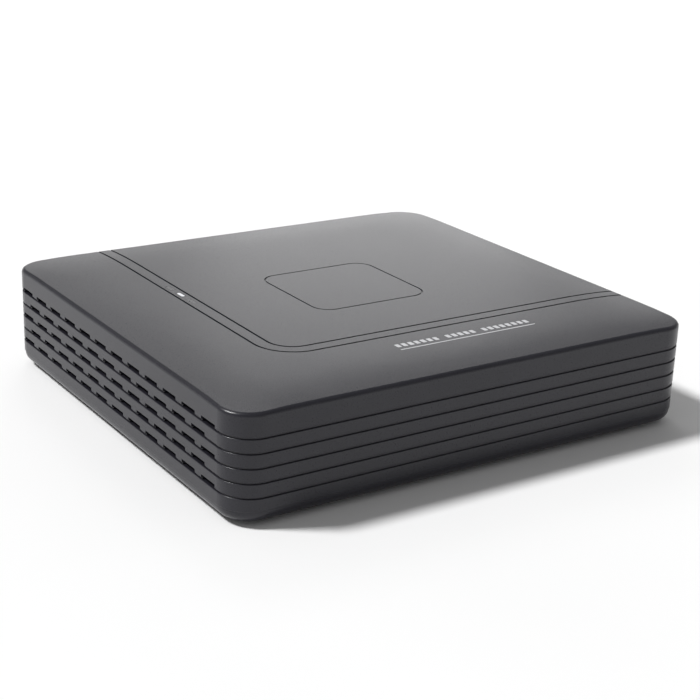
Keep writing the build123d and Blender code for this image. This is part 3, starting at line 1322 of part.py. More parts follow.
def make_fan_wires():
    """The fan's two wires and their plug, along the left wall."""
    y0 = FAN_Y + FAN_SIZE / 2
    pieces = []
    for side in (-1, 1):
        x0 = FAN_MID_X + side * FAN_WIRE_PITCH / 2
        x1 = FAN_HEADER_X + side * FAN_WIRE_PITCH / 2
        points = [(x0, y0, CABLE_Z), (x0, y0 + FAN_WIRE_RUN, CABLE_Z), (x1, y0 + 2.1 * FAN_WIRE_RUN, CABLE_Z),
                  (x1, ARM_FRONT - FAN_BOARD_PLUG_L, CABLE_Z)]
        pieces.append(swept_round(points, FAN_WIRE_BEND_R, FAN_WIRE_R))
    plug = board_plug(FAN_HEADER_X, FAN_HEADER_W - 0.2, FAN_BOARD_PLUG_L)
    return pieces + [plug - pin_slots(FAN_HEADER_X, 2)]


# ---------------------------------------------------------------- fan
FAN_CORNERS = [(FAN_Y + side_y * FAN_SCREW_SPACING / 2, FAN_Z + side_z * FAN_SCREW_SPACING / 2)
               for side_y in (-1, 1) for side_z in (-1, 1)]


def make_fan_frame():
    """Square frame with a round duct, three struts and the motor's bearing."""
    half = FAN_SIZE / 2
    frame = block(FAN_LEFT, FAN_RIGHT, FAN_Y - half, FAN_Y + half, FAN_Z - half, FAN_Z + half)
    frame = fillet(frame.edges().filter_by(Axis.X), FAN_CORNER_R)
    frame -= rod_x(FAN_Y, FAN_Z, FAN_HOLE_R, FAN_LEFT - 1, FAN_RIGHT + 1)
    frame += rod_x(FAN_Y, FAN_Z, FAN_HUB_R, FAN_RIGHT - FAN_BACKPLATE_T, FAN_RIGHT)
    strut = Box(FAN_BACKPLATE_T, FAN_STRUT_W, FAN_HOLE_R)
    strut = Pos(FAN_RIGHT - FAN_BACKPLATE_T / 2, 0, FAN_HOLE_R / 2 + 0.3) * strut
    for turn in FAN_STRUT_TURNS:
        frame += Pos(0, FAN_Y, FAN_Z) * Rot(turn, 0, 0) * strut
    bearing_x = FAN_RIGHT - 1
    frame += rod_x(FAN_Y, FAN_Z, FAN_SHAFT_R + FAN_BEARING_WALL, bearing_x - FAN_BEARING_L, bearing_x)
    frame -= rod_x(FAN_Y, FAN_Z, FAN_SHAFT_R + RUNNING_GAP, bearing_x - FAN_BEARING_L - 1, bearing_x + 0.4)
    hole_r = FAN_SCREW_R + THREAD_GAP
    return frame - [rod_x(y, z, hole_r, FAN_LEFT - 1, FAN_RIGHT + 1) for y, z in FAN_CORNERS]


def make_fan_rotor():
    """Cup-shaped hub with seven pitched blades and a shaft."""
    x0 = FAN_LEFT + FAN_CUP_WALL
    x1 = FAN_RIGHT - FAN_BACKPLATE_T - 0.6
    reach = FAN_BLADE_R - FAN_HUB_R + 1
    blade = Rot(0, 0, FAN_BLADE_PITCH_DEG) * Box(FAN_BLADE_T, FAN_BLADE_CHORD, reach)
    blade = Pos(0, 0, FAN_HUB_R - 1 + reach / 2) * blade
    rotor = rod_x(FAN_Y, FAN_Z, FAN_HUB_R, x0, x1)
    for index in range(FAN_BLADES):
        rotor += Pos((x0 + x1) / 2, FAN_Y, FAN_Z) * Rot(index * 360 / FAN_BLADES, 0, 0) * blade
    rotor &= rod_x(FAN_Y, FAN_Z, FAN_BLADE_R, x0, x1)
    rotor -= rod_x(FAN_Y, FAN_Z, FAN_HUB_R - FAN_CUP_WALL, x0 + FAN_CUP_WALL, x1 + 1)
    return rotor + rod_x(FAN_Y, FAN_Z, FAN_SHAFT_R, x0 + FAN_CUP_WALL / 2, FAN_RIGHT - 1)


def make_fan_bracket():
    """Bent steel plate that holds the fan up behind the side vents."""
    half = FAN_SIZE / 2
    half_foot = BRACKET_FOOT_W / 2
    x0, x1 = FAN_RIGHT, FAN_RIGHT + BRACKET_T
    plate = block(x0, x1, FAN_Y - half, FAN_Y + half, FLOOR_Z, FAN_Z + half)
    plate -= rod_x(FAN_Y, FAN_Z, FAN_HOLE_R - 0.5, x0 - 1, x1 + 1)
    plate -= [rod_x(y, z, FAN_SCREW_R + 0.1, x0 - 1, x1 + 1) for y, z in FAN_CORNERS]
    foot_end = x1 + BRACKET_FOOT_L
    return plate + block(x0, foot_end, FAN_Y - half_foot, FAN_Y + half_foot, FLOOR_Z, FLOOR_Z + BRACKET_T)


def make_fan_screws():
    """Long screws through the bracket into the fan's corners, with a slotted head."""
    x1 = FAN_RIGHT + BRACKET_T
    head_end = x1 + FAN_SCREW_HEAD_H
    slot = Box(FAN_SCREW_HEAD_H, FAN_SCREW_HEAD_R / 4, 3 * FAN_SCREW_HEAD_R)
    screws = []
    for y, z in FAN_CORNERS:
        head = rod_x(y, z, FAN_SCREW_HEAD_R, x1, head_end) - Pos(head_end, y, z) * slot
        screws.append(head + rod_x(y, z, FAN_SCREW_R, FAN_LEFT + 1, x1))
    return screws


# ---------------------------------------------------------------- all pieces
PIECES = {
    "top_cover": make_top_cover,
    "base_tray": make_base_tray,
    "rear_panel": make_rear_panel,
    "rubber_feet": make_feet,
    "case_screws": make_case_screws,
    "light_pipes": make_light_pipes,
    "main_board": make_main_board,
    "board_screws": make_board_screws,
    "main_processor": make_main_processor,
    "heat_sink": make_heat_sink,
    "memory_chips": make_memory_chips,
    "flash_chip": make_flash_chip,
    "video_chips": make_video_chips,
    "network_transformer": make_network_transformer,
    "capacitors": make_capacitors,
    "power_coils": make_power_coils,
    "crystals": make_crystals,
    "battery_holder": make_battery_holder,
    "clock_battery": make_clock_battery,
    "buzzer": make_buzzer,
    "status_leds": make_status_leds,
    "data_header": make_data_header,
    "power_headers": make_power_headers,
    "video_jack_blocks": make_video_blocks,
    "video_jack_barrels": make_video_barrels,
    "video_jack_insulators": make_video_insulators,
    "video_jack_contacts": make_video_contacts,
    "audio_jack_block": make_audio_block,
    "audio_jack_barrels": make_audio_barrels,
    "audio_jack_cores": make_audio_cores,
    "vga_shell": make_vga_shell,
    "vga_insert": make_vga_insert,
    "vga_jack_screws": make_vga_jack_screws,
    "hdmi_shell": make_hdmi_shell,
    "hdmi_tongue": make_hdmi_tongue,
    "usb_shell": make_usb_shell,
    "usb_tongues": make_usb_tongues,
    "lan_socket": make_lan_socket,
    "lan_contacts": make_lan_contacts,
    "power_jack": make_power_jack,
    "power_jack_pin": make_power_pin,
    "disk_casting": make_disk_casting,
    "disk_cover": make_disk_cover,
    "disk_cover_screws": make_disk_cover_screws,
    "disk_platters": make_disk_platters,
    "disk_hub": make_disk_hub,
    "disk_arm": make_disk_arm,
    "disk_magnets": make_disk_magnets,
    "disk_board": make_disk_board,
    "disk_socket": make_disk_socket,
    "disk_mount_screws": make_disk_mount_screws,
    "data_cable": make_data_cable,
    "data_cable_plugs": make_data_plugs,
    "disk_power_wires": make_disk_power_wires,
    "disk_power_plugs": make_disk_power_plugs,
    "fan_wires": make_fan_wires,
    "fan_frame": make_fan_frame,
    "fan_rotor": make_fan_rotor,
    "fan_bracket": make_fan_bracket,
    "fan_screws": make_fan_screws,
}

for node, make in PIECES.items():
    made = make()
    save(node, *(made if isinstance(made, list) else [made]))
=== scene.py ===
import json
import math
import random

import bpy
from mathutils import Matrix, Vector

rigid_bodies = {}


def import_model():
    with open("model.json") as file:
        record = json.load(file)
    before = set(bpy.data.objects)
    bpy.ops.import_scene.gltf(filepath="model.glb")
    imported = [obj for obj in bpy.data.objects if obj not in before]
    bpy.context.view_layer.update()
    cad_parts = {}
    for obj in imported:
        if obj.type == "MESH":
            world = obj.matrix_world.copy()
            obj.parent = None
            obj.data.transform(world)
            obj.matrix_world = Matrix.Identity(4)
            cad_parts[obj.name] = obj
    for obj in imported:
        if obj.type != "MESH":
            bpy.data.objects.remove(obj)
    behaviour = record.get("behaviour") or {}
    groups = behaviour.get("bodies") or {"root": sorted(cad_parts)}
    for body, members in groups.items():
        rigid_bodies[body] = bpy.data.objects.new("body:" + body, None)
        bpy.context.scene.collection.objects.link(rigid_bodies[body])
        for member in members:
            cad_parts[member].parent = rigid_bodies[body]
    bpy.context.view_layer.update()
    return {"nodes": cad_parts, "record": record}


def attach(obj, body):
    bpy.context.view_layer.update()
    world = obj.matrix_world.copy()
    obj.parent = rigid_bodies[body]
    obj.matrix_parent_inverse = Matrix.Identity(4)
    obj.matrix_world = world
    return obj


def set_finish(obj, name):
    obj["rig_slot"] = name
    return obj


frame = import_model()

MM = 0.001
nodes = frame["nodes"]

# ---------------------------------------------------------------- camera
VIEW_AZIMUTH = math.radians(-33.77)
VIEW_ELEVATION = math.radians(20.05)
VIEW_ROLL = math.radians(2.106)
VIEW_DISTANCE = 0.6066
VIEW_LENS = 79.18
LOOK_AT = Vector((-3.28, -17.01, 21.5)) * MM


def place_camera():
    """A long lens from the front left, a little above, with a slight roll."""
    flat = math.cos(VIEW_ELEVATION)
    back = Vector((math.sin(VIEW_AZIMUTH) * flat, -math.cos(VIEW_AZIMUTH) * flat,
                   math.sin(VIEW_ELEVATION)))
    right = (-back).cross(Vector((0, 0, 1))).normalized()
    up = right.cross(-back)
    rolled_right = right * math.cos(VIEW_ROLL) + up * math.sin(VIEW_ROLL)
    rolled_up = up * math.cos(VIEW_ROLL) - right * math.sin(VIEW_ROLL)
    data = bpy.data.cameras.new("camera")
    data.lens = VIEW_LENS
    data.sensor_width = 36
    data.clip_start = 0.01
    camera = bpy.data.objects.new("camera", data)
    turn = Matrix((rolled_right, rolled_up, back)).transposed().to_4x4()
    camera.matrix_world = Matrix.Translation(LOOK_AT + back * VIEW_DISTANCE) @ turn
    bpy.context.scene.collection.objects.link(camera)
    bpy.context.scene.camera = camera


# ---------------------------------------------------------------- materials
class Shader:
    """A Principled material with short helpers for procedural detail."""

    def __init__(self, name, metallic=0.0, roughness=0.5, **sockets):
        self.material = bpy.data.materials.new(name)
        self.material.use_nodes = True
        self.tree = self.material.node_tree
        self.surface = self.tree.nodes["Principled BSDF"]
        self.surface.inputs["Metallic"].default_value = metallic
        self.surface.inputs["Roughness"].default_value = roughness
        for socket, value in sockets.items():
            self.surface.inputs[socket.replace("_", " ")].default_value = value
        self.place = self.tree.nodes.new("ShaderNodeTexCoord").outputs["Object"]

    def add(self, kind, **inputs):
        """A node with its inputs set to values or linked from sockets; i0, i1 ... go by number."""
        node = self.tree.nodes.new(kind)
        for socket, value in inputs.items():
            numbered = socket[0] == "i" and socket[1:].isdigit()
            target = node.inputs[int(socket[1:]) if numbered else socket]
            if isinstance(value, bpy.types.NodeSocket):
                self.tree.links.new(value, target)
            else:
                target.default_value = value
        return node

    def noise(self, scale, detail=2.0, stretch=None):
        """Noise in the object's own metres; stretch squeezes it along an axis."""
        place = self.place
        if stretch:
            place = self.add("ShaderNodeMapping", Vector=place, Scale=stretch).outputs["Vector"]
        return self.add("ShaderNodeTexNoise", Vector=place, Scale=scale, Detail=detail).outputs["Fac"]

    def ramp(self, value, *stops):
        """A colour or grey ramp: each stop is (position, grey or colour)."""
        node = self.add("ShaderNodeValToRGB", Fac=value)
        elements = node.color_ramp.elements
        while len(elements) < len(stops):
            elements.new(0.5)
        for element, (position, tone) in zip(elements, stops):
            element.position = position
            element.color = (tone, tone, tone, 1) if isinstance(tone, (int, float)) else (*tone, 1)
        return node.outputs["Color"]

    def axes(self):
        """The object's own X, Y and Z as three sockets."""
        return self.add("ShaderNodeSeparateXYZ", Vector=self.place).outputs[:3]

    def maths(self, operation, first, second=0.0):
        node = self.add("ShaderNodeMath", i0=first, i1=second)
        node.operation = operation
        return node.outputs["Value"]

    def steps(self, value, *stops):
        """A ramp without blending between its stops."""
        socket = self.ramp(value, *stops)
        socket.node.color_ramp.interpolation = "CONSTANT"
        return socket

    def mixed(self, factor, low, high):
        """A colour between two colours or sockets."""
        node = self.add("ShaderNodeMix")
        node.data_type = "RGBA"
        for target, value in ((node.inputs[0], factor), (node.inputs[6], low), (node.inputs[7], high)):
            if isinstance(value, bpy.types.NodeSocket):
                self.tree.links.new(value, target)
            else:
                target.default_value = (*value, 1) if isinstance(value, tuple) else value
        return node.outputs[2]

    def colour(self, socket):
        self.tree.links.new(socket, self.surface.inputs["Base Color"])
        return self

    def rough(self, socket):
        self.tree.links.new(socket, self.surface.inputs["Roughness"])
        return self

    def bump(self, socket, depth, strength=1.0):
        """A relief of that depth in metres."""
        node = self.add("ShaderNodeBump", Height=socket, Distance=depth, Strength=strength)
        self.tree.links.new(node.outputs["Normal"], self.surface.inputs["Normal"])
        return self


def shade(colour, factor):
    return tuple(channel * factor for channel in colour)


def moulded(name, colour, roughness=0.45, grain=2600, relief=0.00002, spread=0.12, **sockets):
    """Moulded plastic or rubber: fine spark-eroded grain and a slight cloudiness."""
    shader = Shader(name, roughness=roughness, **sockets)
    cloud = shader.noise(28, 3)
    shader.colour(shader.ramp(cloud, (0.3, shade(colour, 1 - spread)), (0.7, shade(colour, 1 + spread))))
    grain_noise = shader.noise(grain, 3)
    shader.rough(shader.ramp(grain_noise, (0.3, roughness - 0.05), (0.7, roughness + 0.05)))
    return shader.bump(grain_noise, relief).material


def metal(name, colour, roughness=0.3, stretch=(1, 1, 1), grain=900, relief=0.000006):
    """Plated, cast or brushed metal; stretch gives the brushing its direction."""
    shader = Shader(name, metallic=1.0, roughness=roughness)
    lines = shader.noise(grain, 3, stretch)
    shader.colour(shader.ramp(lines, (0.3, shade(colour, 0.86)), (0.7, colour)))
    shader.rough(shader.ramp(lines, (0.25, roughness * 0.75), (0.75, roughness * 1.35)))
    return shader.bump(lines, relief).material


def case_plastic(name):
    """Satin black moulding with a slight blue cast, fine spark-eroded grain and soft clouding."""
    return moulded(name, (0.0175, 0.017, 0.023), 0.31, 2800, 0.000016, 0.08, Specular_IOR_Level=0.4)


# Turns of the board tracks' wave per metre, in radians.
TRACK_TURNS = 2600.0
# The point that the four supply wires bend round.
WIRE_CENTRE_X = -72.0
WIRE_CENTRE_Y = -44.0
# These bring 20 mm of bend radius, and 50 mm of height, to a ramp's 0 to 1.
BEND_TO_RAMP = 50.0
HEIGHT_TO_RAMP = 20.0


def circuit_board(name, colour, roughness=0.3):
    """Lacquered board: fine tracks run one way in some areas and across in the others."""
    shader = Shader(name, roughness=roughness, Coat_Weight=0.3)
    x, y, _ = shader.axes()
    area = shader.steps(shader.noise(55, 1), (0.0, 0.0), (0.5, 1.0))
    across = shader.maths("SINE", shader.maths("MULTIPLY", x, TRACK_TURNS))
    along = shader.maths("SINE", shader.maths("MULTIPLY", y, TRACK_TURNS))
    wave = shader.mixed(area, across, along)
    tracks = shader.ramp(wave, (0.3, 0.0), (0.5, 1.0))
    field = shader.steps(shader.noise(90, 1), (0.0, 0.0), (0.48, 1.0))
    mask = shader.maths("MULTIPLY", tracks, field)
    shader.colour(shader.mixed(mask, shade(colour, 0.8), shade(colour, 1.9)))
    return shader.bump(mask, 0.00003).material


def waxy(shader):
    """Gives a shader the faint grain of wire sheathing and soft insulators."""
    grain = shader.noise(1500, 2)
    shader.rough(shader.ramp(grain, (0.3, 0.34), (0.7, 0.46)))
    return shader.bump(grain, 0.00001).material


def supply_wires(name):
    """Four wires told apart by their bend radius round one centre: yellow, two black, red."""
    shader = Shader(name, roughness=0.4)
    x, y, _ = shader.axes()
    out_x = shader.maths("MAXIMUM", shader.maths("SUBTRACT", WIRE_CENTRE_X * MM, x))
    out_y = shader.maths("MAXIMUM", shader.maths("SUBTRACT", WIRE_CENTRE_Y * MM, y))
    squares = [shader.maths("MULTIPLY", out, out) for out in (out_x, out_y)]
    radius = shader.maths("SQRT", shader.maths("ADD", *squares))
    red, black, yellow = (0.55, 0.02, 0.015), (0.02, 0.02, 0.02), (0.75, 0.5, 0.02)
    turn = shader.maths("MULTIPLY", radius, BEND_TO_RAMP)
    shader.colour(shader.steps(turn, (0.0, yellow), (0.5, black), (0.7, red), (0.8, black)))
    return waxy(shader)


def phono_cores(name):
    """Insulating cores of the two phono jacks: white below, red above."""
    shader = Shader(name, roughness=0.4)
    height = shader.maths("MULTIPLY", shader.axes()[2], HEIGHT_TO_RAMP)
    shader.colour(shader.steps(height, (0.0, (0.78, 0.77, 0.73)), (0.424, (0.6, 0.025, 0.02))))
    return waxy(shader)


def turned_disk(name, colour, roughness):
    """A disk turned or polished in circles about the spindle."""
    shader = Shader(name, metallic=1.0, roughness=roughness)
    wave = shader.add("ShaderNodeTexWave", Vector=shader.place, Scale=900.0, Distortion=0.4)
    wave.wave_type = "RINGS"
    wave.rings_direction = "Z"
    rings = wave.outputs["Fac"]
    shader.colour(shader.ramp(rings, (0.2, shade(colour, 0.9)), (0.8, colour)))
    shader.rough(shader.ramp(rings, (0.2, roughness * 0.8), (0.8, roughness * 1.3)))
    return shader.bump(rings, 0.000001).material


# How each slot is finished: the maker and what it is told after the slot's name.
MATERIALS = {
    "case_plastic": (case_plastic,),
    "panel_paint": (moulded, (0.021, 0.021, 0.023), 0.5, 1600, 0.00003),
    "foot_rubber": (moulded, (0.015, 0.015, 0.015), 0.8, 1800),
    "black_steel": (metal, (0.05, 0.05, 0.055), 0.4),
    "bright_steel": (metal, (0.62, 0.62, 0.6), 0.28),
    "clear_plastic": (moulded, (0.026, 0.026, 0.03), 0.29, 1500, 0.000004),
    "board_green": (circuit_board, (0.012, 0.11, 0.05)),
    "chip_black": (moulded, (0.022, 0.022, 0.024), 0.5),
    "sink_aluminium": (metal, (0.6, 0.61, 0.63), 0.35, (1, 0.05, 1)),
    "can_aluminium": (metal, (0.7, 0.71, 0.73), 0.25),
    "coil_grey": (moulded, (0.09, 0.09, 0.095), 0.6),
    "jack_black": (moulded, (0.018, 0.018, 0.02), 0.4),
    "header_white": (moulded, (0.75, 0.72, 0.62), 0.45),
    "led_white": (moulded, (0.85, 0.85, 0.75), 0.2),
    "nickel": (metal, (0.68, 0.67, 0.64), 0.2),
    "insulator_white": (moulded, (0.8, 0.79, 0.75), 0.45),
    "gilt": (metal, (0.83, 0.6, 0.22), 0.25),
    "audio_core": (phono_cores,),
    "vga_blue": (moulded, (0.01, 0.06, 0.35), 0.45),
    "disk_alloy": (metal, (0.5, 0.51, 0.52), 0.5),
    "disk_steel": (metal, (0.66, 0.67, 0.68), 0.3, (0.06, 1, 1)),
    "platter_mirror": (turned_disk, (0.75, 0.75, 0.76), 0.08),
    "disk_board_green": (circuit_board, (0.01, 0.08, 0.1)),
    "cable_red": (moulded, (0.5, 0.02, 0.02), 0.4),
    "wire_plastic": (supply_wires,),
    "fan_black": (moulded, (0.02, 0.02, 0.02), 0.45),
    "bracket_steel": (metal, (0.6, 0.6, 0.6), 0.35),
}


def dress(thing, material):
    """Gives an object one material."""
    thing.data.materials.clear()
    thing.data.materials.append(material)


def dress_all():
    """Each carried-over node, and each piece without a finish, gets the material of its slot."""
    made = {slot: maker(slot, *settings) for slot, (maker, *settings) in MATERIALS.items()}
    for row in frame["record"]["subparts"]:
        dress(nodes[row["node"]], made[row["material_slot"]])
    for thing in bpy.context.scene.objects:
        if thing.type == "MESH" and not thing.data.materials:
            dress(thing, made[thing["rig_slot"]])


# ---------------------------------------------------------------- mesh pieces
def oblong(x, y, width, length):
    """The four corners of a rectangle centred on a point."""
    left, right = x - width / 2, x + width / 2
    near, far = y - length / 2, y + length / 2
    return [(left, near), (right, near), (right, far), (left, far)]


def rounded(x, y, width, length, radius, steps=5):
    """A rectangle with rounded corners."""
    points = []
    for quarter, (side_x, side_y) in enumerate(((1, 1), (-1, 1), (-1, -1), (1, -1))):
        centre_x = x + side_x * (width / 2 - radius)
        centre_y = y + side_y * (length / 2 - radius)
        for step in range(steps + 1):
            turn = math.radians(90 * (quarter + step / steps))
            points.append((centre_x + radius * math.cos(turn), centre_y + radius * math.sin(turn)))
    return points


def arc(x, y, radius, start, end, steps):
    """Points along a circle from one angle to another, in degrees."""
    turns = [math.radians(start + (end - start) * step / steps) for step in range(steps + 1)]
    return [(x + radius * math.cos(turn), y + radius * math.sin(turn)) for turn in turns]


def circle(x, y, radius, steps):
    return arc(x, y, radius, 0, 360, steps)[:-1]


SHARP_EDGE = math.radians(35)


class Mesh:
    """The faces of one detail piece, gathered shape by shape in millimetres."""

    def __init__(self, place=Matrix.Identity(4)):
        self.place = place
        self.corners = []
        self.faces = []

    def stack(self, rings, closed=True):
        """Joins outlines of equal count, each at its own height, into a skin."""
        count = len(rings[0][0])
        start = len(self.corners)
        for points, height in rings:
            self.corners += [self.place @ Vector((x, y, height)) * MM for x, y in points]
        pairs = [(ring, ring + 1) for ring in range(len(rings) - 1)]
        if not closed:
            pairs.append((len(rings) - 1, 0))
        for low, high in pairs:
            for index in range(count):
                after = (index + 1) % count
                self.faces.append([start + low * count + index, start + low * count + after,
                                   start + high * count + after, start + high * count + index])
        if closed:
            last = start + (len(rings) - 1) * count
            self.faces.append([start + index for index in reversed(range(count))])
            self.faces.append([last + index for index in range(count)])

    def prism(self, outline, low, high, bevel=0.0):
        """A solid on a convex outline; its top edge may be bevelled."""
        if not bevel:
            self.stack([(outline, low), (outline, high)])
            return
        xs, ys = [x for x, _ in outline], [y for _, y in outline]
        mid_x, mid_y = (min(xs) + max(xs)) / 2, (min(ys) + max(ys)) / 2
        keep_x, keep_y = 1 - 2 * bevel / (max(xs) - min(xs)), 1 - 2 * bevel / (max(ys) - min(ys))
        inset = [(mid_x + (x - mid_x) * keep_x, mid_y + (y - mid_y) * keep_y) for x, y in outline]
        self.stack([(outline, low), (outline, high - bevel), (inset, high)])

    def band(self, outer, inner, low, high):
        """A flat closed frame between two outlines of equal count."""
        self.stack([(outer, low), (outer, high), (inner, high), (inner, low)], closed=False)

    def build(self, name, body, slot):
        """The finished object, on its body, with its slot recorded."""
        data = bpy.data.meshes.new(name)
        data.from_pydata(self.corners, [], self.faces)
        data.shade_smooth()
        data.set_sharp_from_angle(angle=SHARP_EDGE)
        thing = bpy.data.objects.new(name, data)
        bpy.context.scene.collection.objects.link(thing)
        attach(thing, body)
        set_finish(thing, slot)
        return thing


def facing_back(y):
    """Turns flat shapes to face the rear at that depth: their X runs to the left, their Y up."""
    return Matrix(((-1, 0, 0, 0), (0, 0, 1, y), (0, 1, 0, 0), (0, 0, 0, 1)))


FACE_DOWN = Matrix(((1, 0, 0, 0), (0, -1, 0, 0), (0, 0, -1, 0), (0, 0, 0, 1)))
INK_T = 0.02


def ink_material(name, colour):
    """Matt printing ink with slight unevenness."""
    shader = Shader(name, roughness=0.55)
    shader.colour(shader.ramp(shader.noise(900, 3), (0.3, shade(colour, 0.85)), (0.7, colour)))
    return shader.material


def paper_material(name, tone):
    """Coated label paper with faint fibre clouding."""
    shader = Shader(name, roughness=0.5)
    fibre = shader.noise(420, 4)
    shader.colour(shader.ramp(fibre, (0.3, tone * 0.95), (0.7, tone)))
    shader.rough(shader.ramp(fibre, (0.3, 0.44), (0.7, 0.56)))
    return shader.bump(fibre, 0.000008).material


# ---------------------------------------------------------------- printed marks
BAR_GAP = 0.9
BAR_SHORTEST = 0.5


def label_print(ink, x, y, width, length, height, rows, dice):
    """Generic rows of short bars and one block of thin bars, as on any rating label."""
    low, high = height - INK_T, height + INK_T
    left = x - width / 2
    row_pitch = length / (rows + 3)
    for row in range(rows):
        at = left + row_pitch / 2
        row_y = y + length / 2 - (row + 0.8) * row_pitch
        stop = x + width / 2 - row_pitch / 2 - dice.uniform(0, 0.35) * width
        while at < stop:
            run = min(dice.uniform(1.0, 5.0), stop - at)
            if run > BAR_SHORTEST:
                ink.prism(oblong(at + run / 2, row_y, run, row_pitch * 0.4), low, high)
            at += run + BAR_GAP
    at = left + row_pitch
    while at < x + width * 0.3:
        run = dice.choice((0.3, 0.5, 0.8))
        ink.prism(oblong(at, y - length / 2 + 1.4 * row_pitch, run, 1.7 * row_pitch), low, high)
        at += run + dice.choice((0.4, 0.7))


CASE_TOP_Z = 42.5
PRINT_GROUPS = (7, 5, 8)
PRINT_START_X = -17.6
PRINT_Y = -69.2
PRINT_PITCH = 2.79
PRINT_BLOCK_W = 1.75
PRINT_BLOCK_L = 2.9
PRINT_BLOCK_R = 0.3
PRINT_SINK = 0.03
# Middle, width and length of the line under the blocks, and its faces' depths below the top.
UNDERLINE = (11.8, -73.0, 61.4, 0.62)
UNDERLINE_SINK = 0.06
UNDERLINE_COVER = 0.005
# Middle, width, length and corner radius of the bright mark in the middle window.
WINDOW_MARK = (-59.6, 18.2, 1.4, 4.6, 0.5)
WINDOW_MARK_SINK = 0.05


def build_top_print():
    """Three groups of pale blocks over a fine underline, near the front of the top."""
    ink = Mesh()
    ink.prism(oblong(*UNDERLINE), CASE_TOP_Z - UNDERLINE_SINK, CASE_TOP_Z - UNDERLINE_COVER)
    x = PRINT_START_X
    for count in PRINT_GROUPS:
        for _ in range(count):
            block = rounded(x, PRINT_Y, PRINT_BLOCK_W, PRINT_BLOCK_L, PRINT_BLOCK_R, 2)
            ink.prism(block, CASE_TOP_Z - PRINT_SINK, CASE_TOP_Z + INK_T)
            x += PRINT_PITCH
        x += PRINT_PITCH
    dress(ink.build("top_print", "cover", "insulator_white"), ink_material("top_ink", (0.62, 0.62, 0.64)))
    glow = Mesh()
    glow.prism(rounded(*WINDOW_MARK), CASE_TOP_Z - WINDOW_MARK_SINK, CASE_TOP_Z + INK_T)
    dress(glow.build("window_diffuser", "cover", "led_white"),
          ink_material("diffuser_white", (0.86, 0.87, 0.9)))


PANEL_FACE_Y = 87.3
# Rear sockets that share one outline: middle, width, bottom and top.
SOCKET_GROUPS = [
    (-55.75, 59.5, 9.6, 25.6), (-18.0, 12.6, 9.6, 33.4), (5.5, 33.0, 9.0, 23.4), (32.0, 16.6, 8.7, 17.0),
    (50.0, 14.8, 8.5, 26.6), (68.0, 17.4, 8.5, 24.6), (82.0, 8.0, 11.0, 21.0),
]
OUTLINE_W = 0.3
OUTLINE_R = 1.6
VIDEO_JACK_XS = (-79.0, -63.5, -48.0, -32.5)
DOT_Z = 28.0
DOT_R = 0.55
DOT_PITCH = 1.8
AUDIO_JACK_X = -18
# Heights of the arrows over and under the phono jacks, and which way each points.
ARROWS = ((35.4, 1), (7.6, -1))
ARROW_HALF_W = 1.4


def build_rear_print():
    """Outlines round the socket groups, one to four dots over the video jacks, and in and out arrows."""
    ink = Mesh(facing_back(PANEL_FACE_Y))
    for x, width, low, high in SOCKET_GROUPS:
        middle, length = (low + high) / 2, high - low
        inner = rounded(-x, middle, width - 2 * OUTLINE_W, length - 2 * OUTLINE_W, OUTLINE_R - OUTLINE_W)
        ink.band(rounded(-x, middle, width, length, OUTLINE_R), inner, -INK_T, INK_T)
    for index, x in enumerate(VIDEO_JACK_XS):
        for dot in range(index + 1):
            ink.prism(circle(-x + (dot - index / 2) * DOT_PITCH, DOT_Z, DOT_R, 16), -INK_T, INK_T)
    for z, lean in ARROWS:
        arrow = [(-AUDIO_JACK_X - ARROW_HALF_W, z - lean), (-AUDIO_JACK_X + ARROW_HALF_W, z - lean),
                 (-AUDIO_JACK_X, z + lean)]
        ink.prism(arrow[::lean], -INK_T, INK_T)
    dress(ink.build("rear_print", "chassis", "insulator_white"), ink_material("rear_ink", (0.7, 0.7, 0.72)))


# Where each label lies, its frame, middle, size, corner radius, faces, rows of bars and paper tone.
LABELS = (
    ("case_label", FACE_DOWN, (-63, 10), (42, 58), 1.5, (-1.55, -1.4), 11, 0.72),
    ("disk_label", Matrix.Identity(4), (-11, -36), (44, 66), 1.2, (35.05, 35.2), 13, 0.8),
)
LABEL_MARGIN = 4


def build_labels():
    """A blank rating label under the case and a blank label on the disk's lid."""
    dice = random.Random(11)
    for name, face, (x, y), (width, length), radius, (low, high), rows, tone in LABELS:
        paper = Mesh(face)
        paper.prism(rounded(x, y, width, length, radius), low, high)
        dress(paper.build(name, "chassis", "insulator_white"), paper_material(name + "_paper", tone))
        ink = Mesh(face)
        label_print(ink, x, y, width - LABEL_MARGIN, length - LABEL_MARGIN, high, rows, dice)
        dress(ink.build(name + "_print", "chassis", "chip_black"),
              ink_material(name + "_ink", (0.03, 0.03, 0.03)))


# ---------------------------------------------------------------- small board parts
BOARD_TOP_Z = 9.6
# Fields of small parts: middle, columns, rows, pitch across and back, and whether the parts lie along X.
PART_FIELDS = [
    ((-54.0, 60.0), 9, 2, 3.4, 3.0, False), ((-54.0, 26.0), 7, 3, 3.6, 2.6, True),
    ((-27.0, 44.0), 3, 6, 3.6, 2.8, True), ((42.0, 44.6), 5, 2, 2.8, 2.2, False),
    ((42.0, 62.5), 6, 2, 2.8, 3.0, False), ((14.0, 63.0), 8, 2, 3.2, 3.0, False),
    ((28.5, 27.5), 6, 2, 3.2, 2.6, True), ((51.0, 47.0), 1, 6, 3.0, 3.2, True),
    ((-63.5, 10.0), 3, 4, 3.6, 3.0, True), ((-12.0, 44.5), 4, 2, 2.6, 2.2, False),
    ((86.0, 53.5), 3, 2, 3.0, 2.4, False), ((-81.0, 56.0), 4, 3, 3.2, 3.0, True),
]
PART_L = 1.6
PART_W = 0.85
PART_END_L = 0.32
RESISTOR_H = 0.5
CAPACITOR_H = 0.8
PAD_L = 0.6
PAD_REACH = 0.25
PAD_TOP = 0.16
EMPTY_SHARE = 0.16
RESISTOR_SHARE = 0.55


